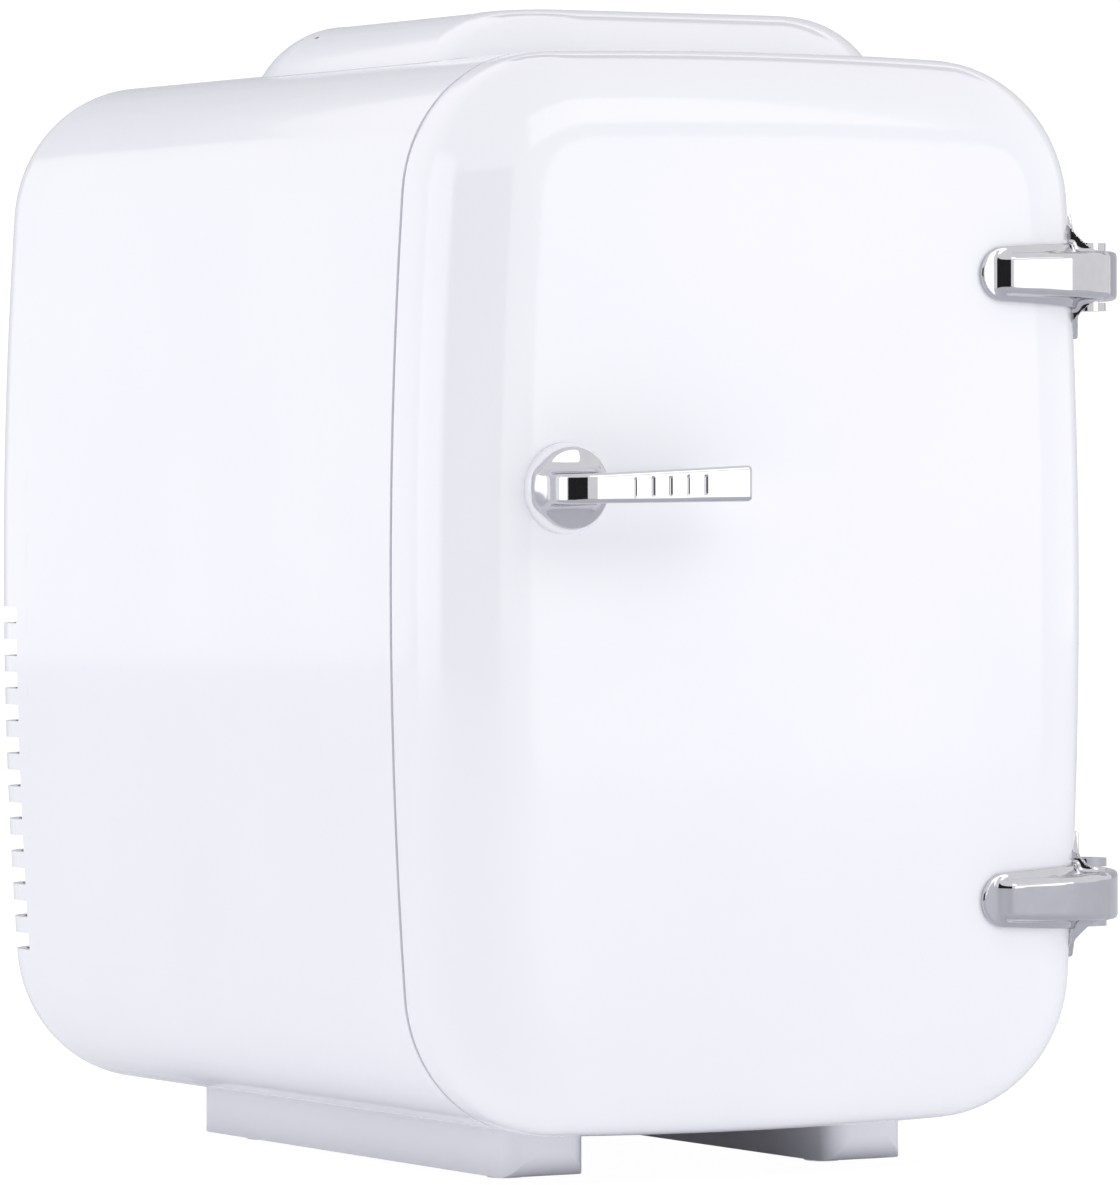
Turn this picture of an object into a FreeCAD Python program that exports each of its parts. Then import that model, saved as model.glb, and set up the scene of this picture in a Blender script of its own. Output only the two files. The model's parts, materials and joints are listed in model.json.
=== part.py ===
"""Counter-top thermoelectric mini fridge: a FreeCAD macro that makes every sub-part and writes it as STEP.

Every sub-part is modelled about the cabinet's centre line (X to the right, -Y to the front, Z up, the
foot pads on z = 0). The whole fridge is then moved by frame_shift, so that the origin is at the centre
of the bottom of its bounding box.
"""
import FreeCAD
import Part
import Sketcher
import math
import os
import re

from FreeCAD import Placement, Rotation, Vector

# alias, millimetres, meaning
DIMENSIONS = [
    ("frame_shift_x", -5.35, "cabinet centre line, from the bounding box's centre"),
    ("frame_shift_y", 9.6, "cabinet centre, from the bounding box's centre"),
    ("half_width", 95, "body outline, half its greatest width"),
    ("half_height", 133.7, "body outline, half its greatest height"),
    ("centre_z", 146, "height of the outline's centre"),
    ("side_bow", 1338, "radius of the outline's bowed sides"),
    ("end_bow", 1600, "radius of the outline's bowed top and bottom"),
    ("corner", 37.3, "radius of the outline's corners"),
    ("wall", 2.5, "thickness of every outer moulding"),
    ("door_front", -131.5, "front face of the door"),
    ("door_back", -100.7, "back edge of the door shell"),
    ("door_round", 24, "rounding of the door's front edge"),
    ("frame_front", -99.9, "front face of the cabinet"),
    ("frame_seam", -63.1, "seam between front frame and main shell"),
    ("cover_seam", 104, "seam between main shell and rear cover"),
    ("back", 130.4, "rear face of the rear cover"),
    ("back_round", 16, "rounding of the rear cover's edge"),
    ("rail_inner", 35, "foot rail, inner side"),
    ("rail_outer", 57.3, "foot rail, outer side"),
    ("rail_front", -92.2, "foot rail, front end"),
    ("rail_back", 78.6, "foot rail, rear end"),
    ("rail_round", 6, "rounding of the foot rail's ends"),
    ("pad_thick", 1.5, "foot pad thickness"),
    ("pad_radius", 4.9, "foot pad radius"),
    ("pad_x", 46.2, "foot pad, distance from the centre line"),
    ("pad_front", -69.1, "front foot pads"),
    ("pad_back", 62, "rear foot pads"),
    ("cavity_x", 67, "cooled cavity, half its width"),
    ("cavity_low", 46, "cavity floor"),
    ("cavity_high", 246, "cavity ceiling"),
    ("cavity_back", 38, "cavity rear wall"),
    ("cavity_round", 14, "radius of the cavity's corners"),
    ("liner_wall", 2, "thickness of the inner liner"),
    ("foam_back", 80, "rear face of the insulation"),
    ("core_z", 96, "height of the cooling unit's centre"),
    ("well_half", 34, "half the side of the square well behind the cavity"),
    ("cold_plate_front", 65, "cold plate, front face"),
    ("cold_plate_back", 69, "cold plate, rear face"),
    ("cold_fin_front", 53, "tips of the cold fins"),
    ("spacer_half", 20, "half the side of spacer block and thermoelectric module"),
    ("module_front", 79, "thermoelectric module, cold face"),
    ("module_back", 83, "thermoelectric module, hot face"),
    ("hot_plate_back", 88, "hot plate, rear face"),
    ("hot_fin_back", 108, "tips of the hot fins"),
    ("hot_half", 45, "half the side of the hot plate"),
    ("clamp_x", 27, "heat sink screws, half their spacing"),
    ("inner_fan_half", 30, "half the side of the inner fan"),
    ("inner_fan_front", 40.5, "inner fan frame, front"),
    ("inner_fan_back", 51, "inner fan frame, rear"),
    ("inner_blade", 27, "inner fan, blade tip radius"),
    ("inner_hub", 10, "inner fan, hub radius"),
    ("rear_fan_half", 40, "half the side of the rear fan"),
    ("rear_fan_back", 123, "rear fan frame, rear"),
    ("rear_blade", 36.5, "rear fan, blade tip radius"),
    ("rear_hub", 15, "rear fan, hub radius"),
    ("slot_top", 140.1, "top of the highest vent"),
    ("slot_pitch", 8.7, "vent spacing"),
    ("slot_tall", 4.4, "vent height"),
    ("slot_side", 110.3, "front end of each vent on the sides"),
    ("plateau_top", 291.3, "top of the carry handle's housing"),
    ("plateau_round", 26, "rounding of the housing's top edge"),
    ("plateau_x", 66, "housing, half its width before it meets the cabinet"),
    ("plateau_front", -94, "housing, front before it meets the cabinet"),
    ("plateau_back", 58, "housing, rear before it meets the cabinet"),
    ("plateau_corner", 36, "housing, corner radius in plan"),
    ("recess_x", 46, "carry handle recess, half its width"),
    ("recess_front", -54, "carry handle recess, front"),
    ("recess_back", 24, "carry handle recess, rear"),
    ("recess_floor", 281.9, "carry handle recess, floor"),
    ("bail_x", 45.4, "carry handle, half its width"),
    ("bail_arm", 8, "carry handle, width of each arm"),
    ("bail_low", 283, "carry handle, underside when folded"),
    ("bail_high", 290, "carry handle, top when folded"),
    ("grip_front", -40, "carry handle grip, front"),
    ("grip_back", -26, "carry handle grip, rear"),
    ("bail_pivot", 17, "carry handle pivot, front to back"),
    ("bail_pin", 1.5, "carry handle pin radius"),
    ("running_gap", 0.05, "radial clearance of a pin that something turns on"),
    ("plug_x", 64, "door plug, half its width"),
    ("plug_low", 49, "door plug, bottom"),
    ("plug_high", 243, "door plug, top"),
    ("plug_back", -88.7, "door plug, rear face"),
    ("panel_front", -105.7, "door panel, front face"),
    ("gasket_back", -100.2, "gasket, rear face"),
    ("gasket_front", -103.5, "gasket, front face in its groove"),
    ("gasket_in", 68, "gasket, half its inner width"),
    ("gasket_out", 78, "gasket, half its outer width"),
    ("rack_x", 54, "door rack, half its width"),
    ("rack_low", 60, "door rack, bottom"),
    ("rack_high", 96, "door rack, top"),
    ("rack_back", -61, "door rack, side towards the cavity"),
    ("rack_wall", 1.8, "door rack, wall"),
    ("handle_x", -63.5, "door handle disc, centre"),
    ("handle_z", 172, "door handle disc, height"),
    ("collar_radius", 11.6, "handle collar radius"),
    ("collar_thick", 2.8, "handle collar thickness"),
    ("disc_radius", 10, "handle disc radius"),
    ("lever_front", -150.5, "door handle lever, front"),
    ("lever_back", -145.5, "door handle lever, back"),
    ("lever_tall", 8, "door handle lever, height"),
    ("lever_tip", 41.5, "door handle lever, reach from the disc's centre"),
    ("lever_tilt", 2, "door handle lever, rise to its tip, degrees"),
    ("hinge_high", 224.7, "upper hinge, height of its centre"),
    ("hinge_low", 68.8, "lower hinge, height of its centre"),
    ("hinge_x", 100.5, "hinge pins, distance from the centre line"),
    ("hinge_y", -109, "hinge pins, front to back"),
    ("hinge_pin", 1.6, "hinge pin radius"),
    ("knuckle", 5.2, "hinge knuckle radius"),
    ("strap_half", 6.2, "hinge strap, half its height at the knuckle"),
    ("strap_start", 54.7, "hinge strap flange, left end"),
    ("strap_bar", 60, "hinge strap bar, left end"),
    ("leaf_half", 16, "hinge leaf, half its height"),
    ("flare_half", 14.5, "hinge strap, half its height at the door's side"),
    ("flank_bow", 16, "radius of the hinges' concave flanks"),
    ("strap_proud", 4.2, "hinge strap bar, height above the door"),
    ("strap_bend", 29, "hinge strap bar, bend round the door's edge"),
    ("strap_rise", 6, "hinge strap, distance from the door's rounding to its outer face"),
    ("flare_turn", 30.6, "hinge strap wings, turn of their section from the door's face, degrees"),
    ("leaf_back", -84, "hinge leaf, rear end"),
    ("socket_z", 176, "height of the sockets and the mode switch"),
    ("inlet_x", -28, "mains inlet, from the centre line"),
    ("rocker_x", 32, "mode switch, from the centre line"),
    ("rocker_y", 129, "mode switch pivot, front to back"),
    ("socket_proud", 131.4, "rear face of the sockets' flanges"),
    ("board_front", 108, "circuit board, component side"),
    ("board_back", 109.6, "circuit board, solder side"),
    ("boss_x", 80, "rear cover screws, from the centre line"),
    ("boss_rise", 112, "rear cover screws, above and below the outline's centre"),
]

VALUES = {alias: number for alias, number, _ in DIMENSIONS}
NODES = []

doc = FreeCAD.newDocument("mini_fridge")
dims = doc.addObject("Spreadsheet::Sheet", "dims")
for row, (alias, number, meaning) in enumerate(DIMENSIONS, 1):
    dims.set(f"A{row}", meaning)
    dims.set(f"B{row}", str(number))
    dims.setAlias(f"B{row}", alias)
doc.recompute()


def from_sheet(text):
    """An expression in which every alias reads its cell."""
    return re.sub(r"[a-z_]\w*", lambda m: "dims." + m[0] if m[0] in VALUES else m[0], str(text))


def value(text):
    """The number that an expression has now."""
    return float(dims.evalExpression(from_sheet(text)))


def bind(thing, prop, text):
    """Bind one property of an object to an expression of the sheet."""
    thing.setExpression(prop, from_sheet(text))


def put(thing, x, y, z):
    """Bind an object's place to three expressions."""
    for letter, text in zip("xyz", (x, y, z)):
        bind(thing, f"Placement.Base.{letter}", text)
    return thing


def box(name, x, y, z):
    """A box between two corners; each argument is a low and a high expression."""
    solid = doc.addObject("Part::Box", name)
    for prop, (low, high) in zip(("Length", "Width", "Height"), (x, y, z)):
        bind(solid, prop, f"({high}) - ({low})")
    return put(solid, x[0], y[0], z[0])


TURN = {
    "x": Rotation(Vector(0, 1, 0), 90),
    "y": Rotation(Vector(1, 0, 0), -90),
    "z": Rotation(),
}


def along(axis, start, across):
    """The three coordinates of a point, from its place along one axis and the two others in order."""
    place = list(across)
    place.insert("xyz".index(axis), start)
    return place


def rod(name, axis, across, span, radius):
    """A cylinder along an axis, at two coordinates across it, between two expressions."""
    solid = doc.addObject("Part::Cylinder", name)
    bind(solid, "Radius", radius)
    bind(solid, "Height", f"({span[1]}) - ({span[0]})")
    solid.Placement = Placement(Vector(), TURN[axis])
    return put(solid, *along(axis, span[0], across))


def cone(name, axis, across, span, radii):
    """A cone along an axis, from the first radius to the second."""
    solid = doc.addObject("Part::Cone", name)
    bind(solid, "Radius1", radii[0])
    bind(solid, "Radius2", radii[1])
    bind(solid, "Height", f"({span[1]}) - ({span[0]})")
    solid.Placement = Placement(Vector(), TURN[axis])
    return put(solid, *along(axis, span[0], across))


def fuse(name, *solids):
    """One solid made of several."""
    joined = doc.addObject("Part::MultiFuse", name)
    joined.Shapes = list(solids)
    joined.Refine = True
    return joined


def cut(name, base, *tools):
    """A solid less others."""
    tool = tools[0] if len(tools) == 1 else fuse(name + "_tools", *tools)
    result = doc.addObject("Part::Cut", name)
    result.Base = base
    result.Tool = tool
    result.Refine = True
    return result


def common(name, first, second):
    """What two solids share."""
    result = doc.addObject("Part::Common", name)
    result.Base = first
    result.Tool = second
    return result


def group(name, solids):
    """Several separate solids in one object."""
    result = doc.addObject("Part::Compound", name)
    result.Links = list(solids)
    return result


def node(name, thing):
    """Name a finished sub-part and move it from the centre line to the part's own frame."""
    if thing.TypeId in ("Part::Box", "Part::Cylinder"):
        thing.Label = name + "_block"
        thing = group(name, [thing])
    thing.Label = name
    put(thing, "frame_shift_x", "frame_shift_y", "0")
    NODES.append(thing)
    return thing


def edge_names(shape, test):
    """Names of the edges whose every point passes a test."""
    names = []
    for number, edge in enumerate(shape.Edges, 1):
        first, last = edge.ParameterRange
        points = [edge.valueAt(first + (last - first) * part) for part in (0, 0.3, 0.7, 1)]
        if all(test(point) for point in points):
            names.append(f"Edge{number}")
    return names


def rounded(name, base, radius, test):
    """A fillet on the edges of a primitive or boolean that pass a test."""
    doc.recompute()
    result = doc.addObject("Part::Fillet", name)
    result.Base = base
    size = value(radius)
    result.Edges = [(int(edge[4:]), size, size) for edge in edge_names(base.Shape, test)]
    return result


def rounded_box(name, x, y, z, radius, axis):
    """A box with its four edges along one axis rounded."""
    solid = box(name + "_block", x, y, z)
    doc.recompute()
    number = "xyz".index(axis)
    result = doc.addObject("Part::Fillet", name)
    result.Base = solid
    size = value(radius)
    result.Edges = [
        (i, size, size)
        for i, edge in enumerate(solid.Shape.Edges, 1)
        if abs(edge.tangentAt(edge.FirstParameter)[number]) > 0.99
    ]
    return result


def origin_plane(body, role):
    """One of a body's own origin planes."""
    return next(item for item in body.Origin.OriginFeatures if item.Role == role)


def new_sketch(body, name, plane, offset):
    """A sketch on an origin plane; offset is two expressions in the plane and one along its normal."""
    sketch = body.newObject("Sketcher::SketchObject", name)
    sketch.AttachmentSupport = [(origin_plane(body, plane), "")]
    sketch.MapMode = "FlatFace"
    for letter, text in zip("xyz", offset):
        bind(sketch, f"AttachmentOffset.Base.{letter}", text)
    return sketch


def add_constraint(sketch, text, *arguments):
    """A dimension of a sketch, bound to an expression."""
    number = sketch.addConstraint(Sketcher.Constraint(*arguments, value(text)))
    sketch.setExpression(f"Constraints[{number}]", from_sheet(text))


def bowed_outline(body, name, y, inset):
    """The fridge's front outline at one y: four bowed sides joined by four tangent corners."""
    sketch = new_sketch(body, name, "XZ_Plane", ("0", "centre_z", f"-({y})"))
    less = value(inset)
    side_r = VALUES["side_bow"] - less
    end_r = VALUES["end_bow"] - less
    corner_r = VALUES["corner"] - less
    side_c = VALUES["side_bow"] - VALUES["half_width"]
    end_c = VALUES["end_bow"] - VALUES["half_height"]
    # the corner's centre is side_r - corner_r from one bow's centre and end_r - corner_r from the other's
    gap = math.hypot(side_c, end_c)
    reach_side = side_r - corner_r
    reach_end = end_r - corner_r
    share = (reach_side**2 - reach_end**2 + gap**2) / (2 * gap)
    rise = math.sqrt(reach_side**2 - share**2)
    ux, uy = side_c / gap, -end_c / gap
    corner_x = -side_c + share * ux - rise * uy
    corner_y = share * uy + rise * ux
    side_angle = math.atan2(corner_y, corner_x + side_c)
    end_angle = math.atan2(corner_y + end_c, corner_x)
    half_turn = math.pi
    arcs = [
        (-side_c, 0, side_r, -side_angle, side_angle),
        (corner_x, corner_y, corner_r, side_angle, end_angle),
        (0, -end_c, end_r, end_angle, half_turn - end_angle),
        (-corner_x, corner_y, corner_r, half_turn - end_angle, half_turn - side_angle),
        (side_c, 0, side_r, half_turn - side_angle, half_turn + side_angle),
        (-corner_x, -corner_y, corner_r, half_turn + side_angle, half_turn + end_angle),
        (0, end_c, end_r, half_turn + end_angle, 2 * half_turn - end_angle),
        (corner_x, -corner_y, corner_r, 2 * half_turn - end_angle, 2 * half_turn - side_angle),
    ]
    for x, z, radius, start, end in arcs:
        circle = Part.Circle(Vector(x, z, 0), Vector(0, 0, 1), radius)
        sketch.addGeometry(Part.ArcOfCircle(circle, start, end))
    for i in range(8):
        sketch.addConstraint(Sketcher.Constraint("Tangent", i, 2, (i + 1) % 8, 1))
    sketch.addConstraint(Sketcher.Constraint("PointOnObject", 0, 3, -1))
    sketch.addConstraint(Sketcher.Constraint("PointOnObject", 2, 3, -2))
    sketch.addConstraint(Sketcher.Constraint("Symmetric", 0, 3, 4, 3, -2))
    sketch.addConstraint(Sketcher.Constraint("Symmetric", 2, 3, 6, 3, -1))
    for first, second in ((0, 4), (2, 6), (1, 3), (1, 5), (1, 7)):
        sketch.addConstraint(Sketcher.Constraint("Equal", first, second))
    add_constraint(sketch, f"side_bow - ({inset})", "Radius", 0)
    add_constraint(sketch, f"end_bow - ({inset})", "Radius", 2)
    add_constraint(sketch, f"corner - ({inset})", "Radius", 1)
    add_constraint(sketch, "side_bow - half_width", "DistanceX", 0, 3, -1, 1)
    add_constraint(sketch, "end_bow - half_height", "DistanceY", 2, 3, -1, 1)
    return sketch


def pad_sketch(body, sketch, length):
    """Pad a sketch along its plane's normal."""
    pad = body.newObject("PartDesign::Pad", sketch.Name + "_pad")
    pad.Profile = sketch
    bind(pad, "Length", length)
    return pad


def outline_block(name, front, rear, inset, rounding=None):
    """A solid of the fridge's outline between two y, with one end's edge rounded (y, radius)."""
    body = doc.addObject("PartDesign::Body", name)
    sketch = bowed_outline(body, name + "_outline", rear, inset)
    pad = pad_sketch(body, sketch, f"({rear}) - ({front})")
    if rounding:
        doc.recompute()
        end = value(rounding[0])
        fillet = body.newObject("PartDesign::Fillet", name + "_round")
        fillet.Base = (pad, edge_names(pad.Shape, lambda point: abs(point.y - end) < 1e-4))
        bind(fillet, "Radius", rounding[1])
    return body


def profile_sketch(body, name, plane, offset, points):
    """A closed sketch through points (u, v) or (u, v, radius), where a radius bows the side after the
    point to the right of its direction, and a negative one to its left."""
    sketch = new_sketch(body, name, plane, offset)
    corners = [(value(point[0]), value(point[1])) for point in points]
    ends = []
    for i, point in enumerate(points):
        x0, y0 = corners[i]
        x1, y1 = corners[(i + 1) % len(points)]
        if len(point) == 2:
            sketch.addGeometry(Part.LineSegment(Vector(x0, y0, 0), Vector(x1, y1, 0)))
            ends.append((1, 2))
            continue
        radius = value(point[2])
        chord = math.hypot(x1 - x0, y1 - y0)
        height = math.sqrt(radius**2 - chord**2 / 4) * math.copysign(1, radius)
        cx = (x0 + x1) / 2 - (y1 - y0) / chord * height
        cy = (y0 + y1) / 2 + (x1 - x0) / chord * height
        circle = Part.Circle(Vector(cx, cy, 0), Vector(0, 0, 1), abs(radius))
        first = math.atan2(y0 - cy, x0 - cx)
        second = math.atan2(y1 - cy, x1 - cx)
        if radius > 0:
            sketch.addGeometry(Part.ArcOfCircle(circle, first, second))
            ends.append((1, 2))
        else:
            sketch.addGeometry(Part.ArcOfCircle(circle, second, first))
            ends.append((2, 1))
    for i, point in enumerate(points):
        before = (i - 1) % len(points)
        sketch.addConstraint(Sketcher.Constraint("Coincident", before, ends[before][1], i, ends[i][0]))
        add_constraint(sketch, point[0], "DistanceX", -1, 1, i, ends[i][0])
        add_constraint(sketch, point[1], "DistanceY", -1, 1, i, ends[i][0])
        if len(point) == 3:
            add_constraint(sketch, f"abs({point[2]})", "Radius", i)
    return sketch


def prism(name, plane, points, span):
    """A profile in XY, XZ or YZ, padded between two places along the third axis."""
    start = f"-({span[1]})" if plane == "XZ" else span[0]
    body = doc.addObject("PartDesign::Body", name)
    sketch = profile_sketch(body, name + "_profile", plane + "_Plane", ("0", "0", start), points)
    pad_sketch(body, sketch, f"({span[1]}) - ({span[0]})")
    return body


def turned(name, x, z, points):
    """A solid of revolution about a line along Y; its profile's points are (radius, y)."""
    body = doc.addObject("PartDesign::Body", name)
    sketch = profile_sketch(body, name + "_profile", "XY_Plane", (x, "0", z), points)
    turn = body.newObject("PartDesign::Revolution", name + "_turn")
    turn.Profile = sketch
    turn.ReferenceAxis = (sketch, ["V_Axis"])
    turn.Angle = 360
    return body


def both(expression):
    """The pair of expressions that reach equally far to each side."""
    return f"-({expression})", expression


def around(middle, half):
    """The pair of expressions that reach equally far to each side of a middle."""
    return f"({middle}) - ({half})", f"({middle}) + ({half})"


SIDES = (("left", "-"), ("right", ""))


# ---------------------------------------------------------------- cabinet shells

def foot_rails(name, front, rear, rounded_end):
    """The stretch of the two foot rails between two y, with one end's corners and the soles rounded."""
    rails = []
    for side, sign in SIDES:
        low, high = sorted((f"{sign}rail_inner", f"{sign}rail_outer"), key=value)
        rail = box(f"{name}_{side}", (low, high), (front, rear), ("pad_thick", "centre_z - half_height + 6"))
        end = value(rounded_end)
        sole = VALUES["pad_thick"]
        sides = (value(low), value(high))

        def on_end(point):
            """On the rail's free end, along one of its sides or its sole."""
            beside = min(abs(point.x - x) for x in sides) < 1e-4
            return abs(point.y - end) < 1e-4 and (beside or abs(point.z - sole) < 1e-4)

        rails.append(rounded(f"{name}_{side}_round", rail, "rail_round", on_end))
    return rails


def boss_places():
    """The four corners where the rear cover is screwed on."""
    for side, sign in SIDES:
        for end, rise in (("top", "centre_z + boss_rise"), ("bottom", "centre_z - boss_rise")):
            yield f"{side}_{end}", f"{sign}boss_x", rise


def front_frame():
    """Front ring of the cabinet: a flange round the cavity's mouth and the front ends of the feet."""
    outer = outline_block("frame_outer", "frame_front", "frame_seam", "0")
    solid = fuse("frame_solid", outer, *foot_rails("frame_rail", "rail_front", "frame_seam", "rail_front"))
    hollow = outline_block("frame_hollow", "frame_front + wall", "frame_seam + 1", "wall")
    mouth = rounded_box("frame_mouth", both("cavity_x"), ("frame_front - 1", "frame_front + wall + 1"),
                        ("cavity_low", "cavity_high"), "cavity_round", "y")
    screws = [
        rod(f"frame_hole_{i}", "x", (y, z), ("half_width - 12", "half_width + 2"), "1.5")
        for i, (y, z) in enumerate(leaf_screw_places())
    ]
    node("front_frame", cut("front_frame", solid, hollow, mouth, *screws))


def main_shell():
    """Middle shell with the rear ends of the feet and four screw bosses."""
    outer = outline_block("shell_outer", "frame_seam", "cover_seam", "0")
    solid = fuse("shell_solid", outer, *foot_rails("shell_rail", "frame_seam", "rail_back", "rail_back"))
    hollow = outline_block("shell_hollow", "frame_seam - 1", "cover_seam + 1", "wall")
    bosses = [
        common(f"shell_boss_{name}",
               rod(f"shell_boss_rod_{name}", "y", (x, z), ("cover_seam - 20", "cover_seam"), "7"), outer)
        for name, x, z in boss_places()
    ]
    holes = [
        rod(f"shell_boss_hole_{name}", "y", (x, z), ("cover_seam - 14", "cover_seam + 1"), "1.75")
        for name, x, z in boss_places()
    ]
    empty = cut("shell_empty", solid, hollow)
    node("main_shell", cut("main_shell", fuse("shell_with_bosses", empty, *bosses), *holes))


def rear_cover():
    """Rear cap: rounded edge, eleven vents round both sides, openings for sockets and screws."""
    outer = outline_block("cover_outer", "cover_seam", "back", "0", ("back", "back_round"))
    hollow = outline_block("cover_hollow", "cover_seam - 1", "back - wall", "wall",
                           ("back - wall", "back_round - wall"))
    posts = [
        common(f"cover_post_{name}",
               rod(f"cover_post_rod_{name}", "y", (x, z), ("cover_seam", "back"), "7"), outer)
        for name, x, z in boss_places()
    ]
    shell = fuse("cover_with_posts", cut("cover_shell", outer, hollow), *posts)
    openings = []
    for number in range(11):
        top = f"slot_top - {number} * slot_pitch"
        for side, sign in SIDES:
            for part, low, high in (("inner", 6, 48.5), ("outer", 51.5, 100)):
                x = sorted((f"{sign}{low}", f"{sign}{high}"), key=float)
                openings.append(box(f"vent_{number}_{side}_{part}", x, ("slot_side", "back + 1"),
                                    (f"{top} - slot_tall", top)))
    for name, x, z in boss_places():
        openings.append(rod(f"cover_screw_hole_{name}", "y", (x, z), ("cover_seam - 1", "back + 1"), "1.85"))
        openings.append(rod(f"cover_screw_recess_{name}", "y", (x, z), ("back - 10", "back + 1"), "3.6"))
    openings.append(box("cover_inlet_hole", around("inlet_x", "12"), ("back - 10", "back + 1"),
                        around("socket_z", "7.5")))
    openings.append(box("cover_switch_hole", around("rocker_x", "11"), ("back - 10", "back + 1"),
                        around("socket_z", "7.5")))
    openings.append(rod("cover_socket_hole", "y", ("0", "socket_z"), ("back - 10", "back + 1"), "5.5"))
    openings.append(rod("cover_lens_hole", "y", ("0", "socket_z + 16"), ("back - 10", "back + 1"), "2.5"))
    node("rear_cover", cut("rear_cover", shell, *openings))
    screws = [
        fuse(f"cover_screw_{name}",
             rod(f"cover_screw_shank_{name}", "y", (x, z), ("cover_seam - 12", "back - 10"), "1.7"),
             rod(f"cover_screw_head_{name}", "y", (x, z), ("back - 10", "back - 7.8"), "3.3"))
        for name, x, z in boss_places()
    ]
    node("rear_cover_screws", group("rear_cover_screws", screws))


def foot_pads():
    """Four round rubber pads under the foot rails."""
    pads = [
        rod(f"foot_pad_{side}_{end}", "z", (f"{sign}pad_x", y), ("0", "pad_thick"), "pad_radius")
        for side, sign in SIDES
        for end, y in (("front", "pad_front"), ("back", "pad_back"))
    ]
    node("foot_pads", group("foot_pads", pads))


# ---------------------------------------------------------------- carry handle

def top_housing():
    """Cushion-shaped housing on the cabinet's top, hollow below, with the carry handle's recess."""
    block = rounded_box("housing_block", both("plateau_x"), ("plateau_front", "plateau_back"),
                        ("plateau_top - 30", "plateau_top"), "plateau_corner", "z")
    top = VALUES["plateau_top"]
    cushion = rounded("housing_cushion", block, "plateau_round", lambda point: abs(point.z - top) < 1e-4)
    tub = box("housing_tub", both("recess_x"), ("recess_front", "recess_back"),
              ("recess_floor", "plateau_top + 1"))
    hollows = []
    for end, front, rear in (("front", "plateau_front + 30", "recess_front - wall"),
                             ("back", "recess_back + 2 * wall", "plateau_back - 22")):
        hollows.append(box(f"housing_hollow_{end}", both("recess_x - 8"), (front, rear),
                           ("plateau_top - 30", "plateau_top - 3.2")))
    pins = [
        rod(f"housing_pin_hole_{side}", "x", ("bail_pivot", "bail_low + 3.5"),
            (f"{sign}47.5 - 6", f"{sign}47.5 + 6"), "bail_pin")
        for side, sign in SIDES
    ]
    cabinet = outline_block("housing_cabinet", "door_front", "back", "0")
    node("top_housing", cut("top_housing", cushion, tub, *hollows, *pins, cabinet))


def carry_handle():
    """Folding bail: two arms and a grip, on two pins."""
    arms = []
    for side, sign in SIDES:
        x = sorted((f"{sign}bail_x", f"{sign}(bail_x - bail_arm)"), key=value)
        arms.append(box(f"bail_arm_{side}", x, ("grip_back - 1", "bail_pivot"), ("bail_low", "bail_high")))
        arms.append(rod(f"bail_eye_{side}", "x", ("bail_pivot", "bail_low + 3.5"), x, "3.5"))
    grip = rounded_box("bail_grip", both("bail_x"), ("grip_front", "grip_back"), ("bail_low", "bail_high"),
                       "3", "x")
    holes = [
        rod(f"bail_hole_{side}", "x", ("bail_pivot", "bail_low + 3.5"),
            (f"{sign}42 - 10", f"{sign}42 + 10"), "bail_pin + running_gap")
        for side, sign in SIDES
    ]
    node("carry_handle", cut("carry_handle", fuse("bail", grip, *arms), *holes))
    pins = [
        rod(f"bail_pin_{side}", "x", ("bail_pivot", "bail_low + 3.5"),
            (f"{sign}45.5 - 7", f"{sign}45.5 + 7"), "bail_pin")
        for side, sign in SIDES
    ]
    node("carry_handle_pins", group("carry_handle_pins", pins))


# ---------------------------------------------------------------- cavity

def inner_liner():
    """Box that lines the cavity, with two shelf rails and a square well for the cooling unit."""
    shell = rounded_box("liner_outer", both("cavity_x + liner_wall"),
                        ("frame_front + wall", "cavity_back + liner_wall"),
                        ("cavity_low - liner_wall", "cavity_high + liner_wall"),
                        "cavity_round + liner_wall", "y")
    well = box("liner_well", both("well_half + liner_wall"), ("cavity_back", "cold_plate_back"),
               around("core_z", "well_half + liner_wall"))
    room = rounded_box("liner_room", both("cavity_x"), ("frame_front", "cavity_back"),
                       ("cavity_low", "cavity_high"), "cavity_round", "y")
    shaft = box("liner_shaft", both("well_half"), ("cavity_back - 1", "cold_plate_back + 1"),
                around("core_z", "well_half"))
    rails = [
        box(f"liner_rail_{side}", sorted((f"{sign}(cavity_x - 3.5)", f"{sign}(cavity_x + 1)"), key=value),
            ("-58", "30"), ("centre_z - 6", "centre_z - 3"))
        for side, sign in SIDES
    ]
    empty = cut("liner_empty", fuse("liner_solid", shell, well), room, shaft)
    node("inner_liner", fuse("inner_liner", empty, *rails))


def cabinet_foam():
    """Insulation between the liner and the outer shells."""
    block = outline_block("foam_block", "frame_front + wall", "foam_back", "wall")
    liner = rounded_box("foam_liner", both("cavity_x + liner_wall"),
                        ("frame_front", "cavity_back + liner_wall"),
                        ("cavity_low - liner_wall", "cavity_high + liner_wall"),
                        "cavity_round + liner_wall", "y")
    well = box("foam_well", both("well_half + liner_wall"), ("cavity_back", "cold_plate_back"),
               around("core_z", "well_half + liner_wall"))
    core = box("foam_core", both("spacer_half"), ("cavity_back", "foam_back + 1"),
               around("core_z", "spacer_half"))
    plates = [
        box(f"foam_plate_{number}", ("-84", "-72"), ("frame_front", "frame_front + wall + 0.8"), span)
        for number, span in enumerate(magnet_spans("2"))
    ]
    clamps = [
        rod(f"foam_clamp_{i}", "y", place, ("cold_plate_front", "foam_back + 1"), "1.5")
        for i, place in enumerate(clamp_places())
    ]
    hinges = [
        rod(f"foam_hole_{i}", "x", (y, z), ("half_width - 12", "half_width + 2"), "1.5")
        for i, (y, z) in enumerate(leaf_screw_places())
    ]
    node("cabinet_foam", cut("cabinet_foam", block, liner, well, core, *plates, *clamps, *hinges))


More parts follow.
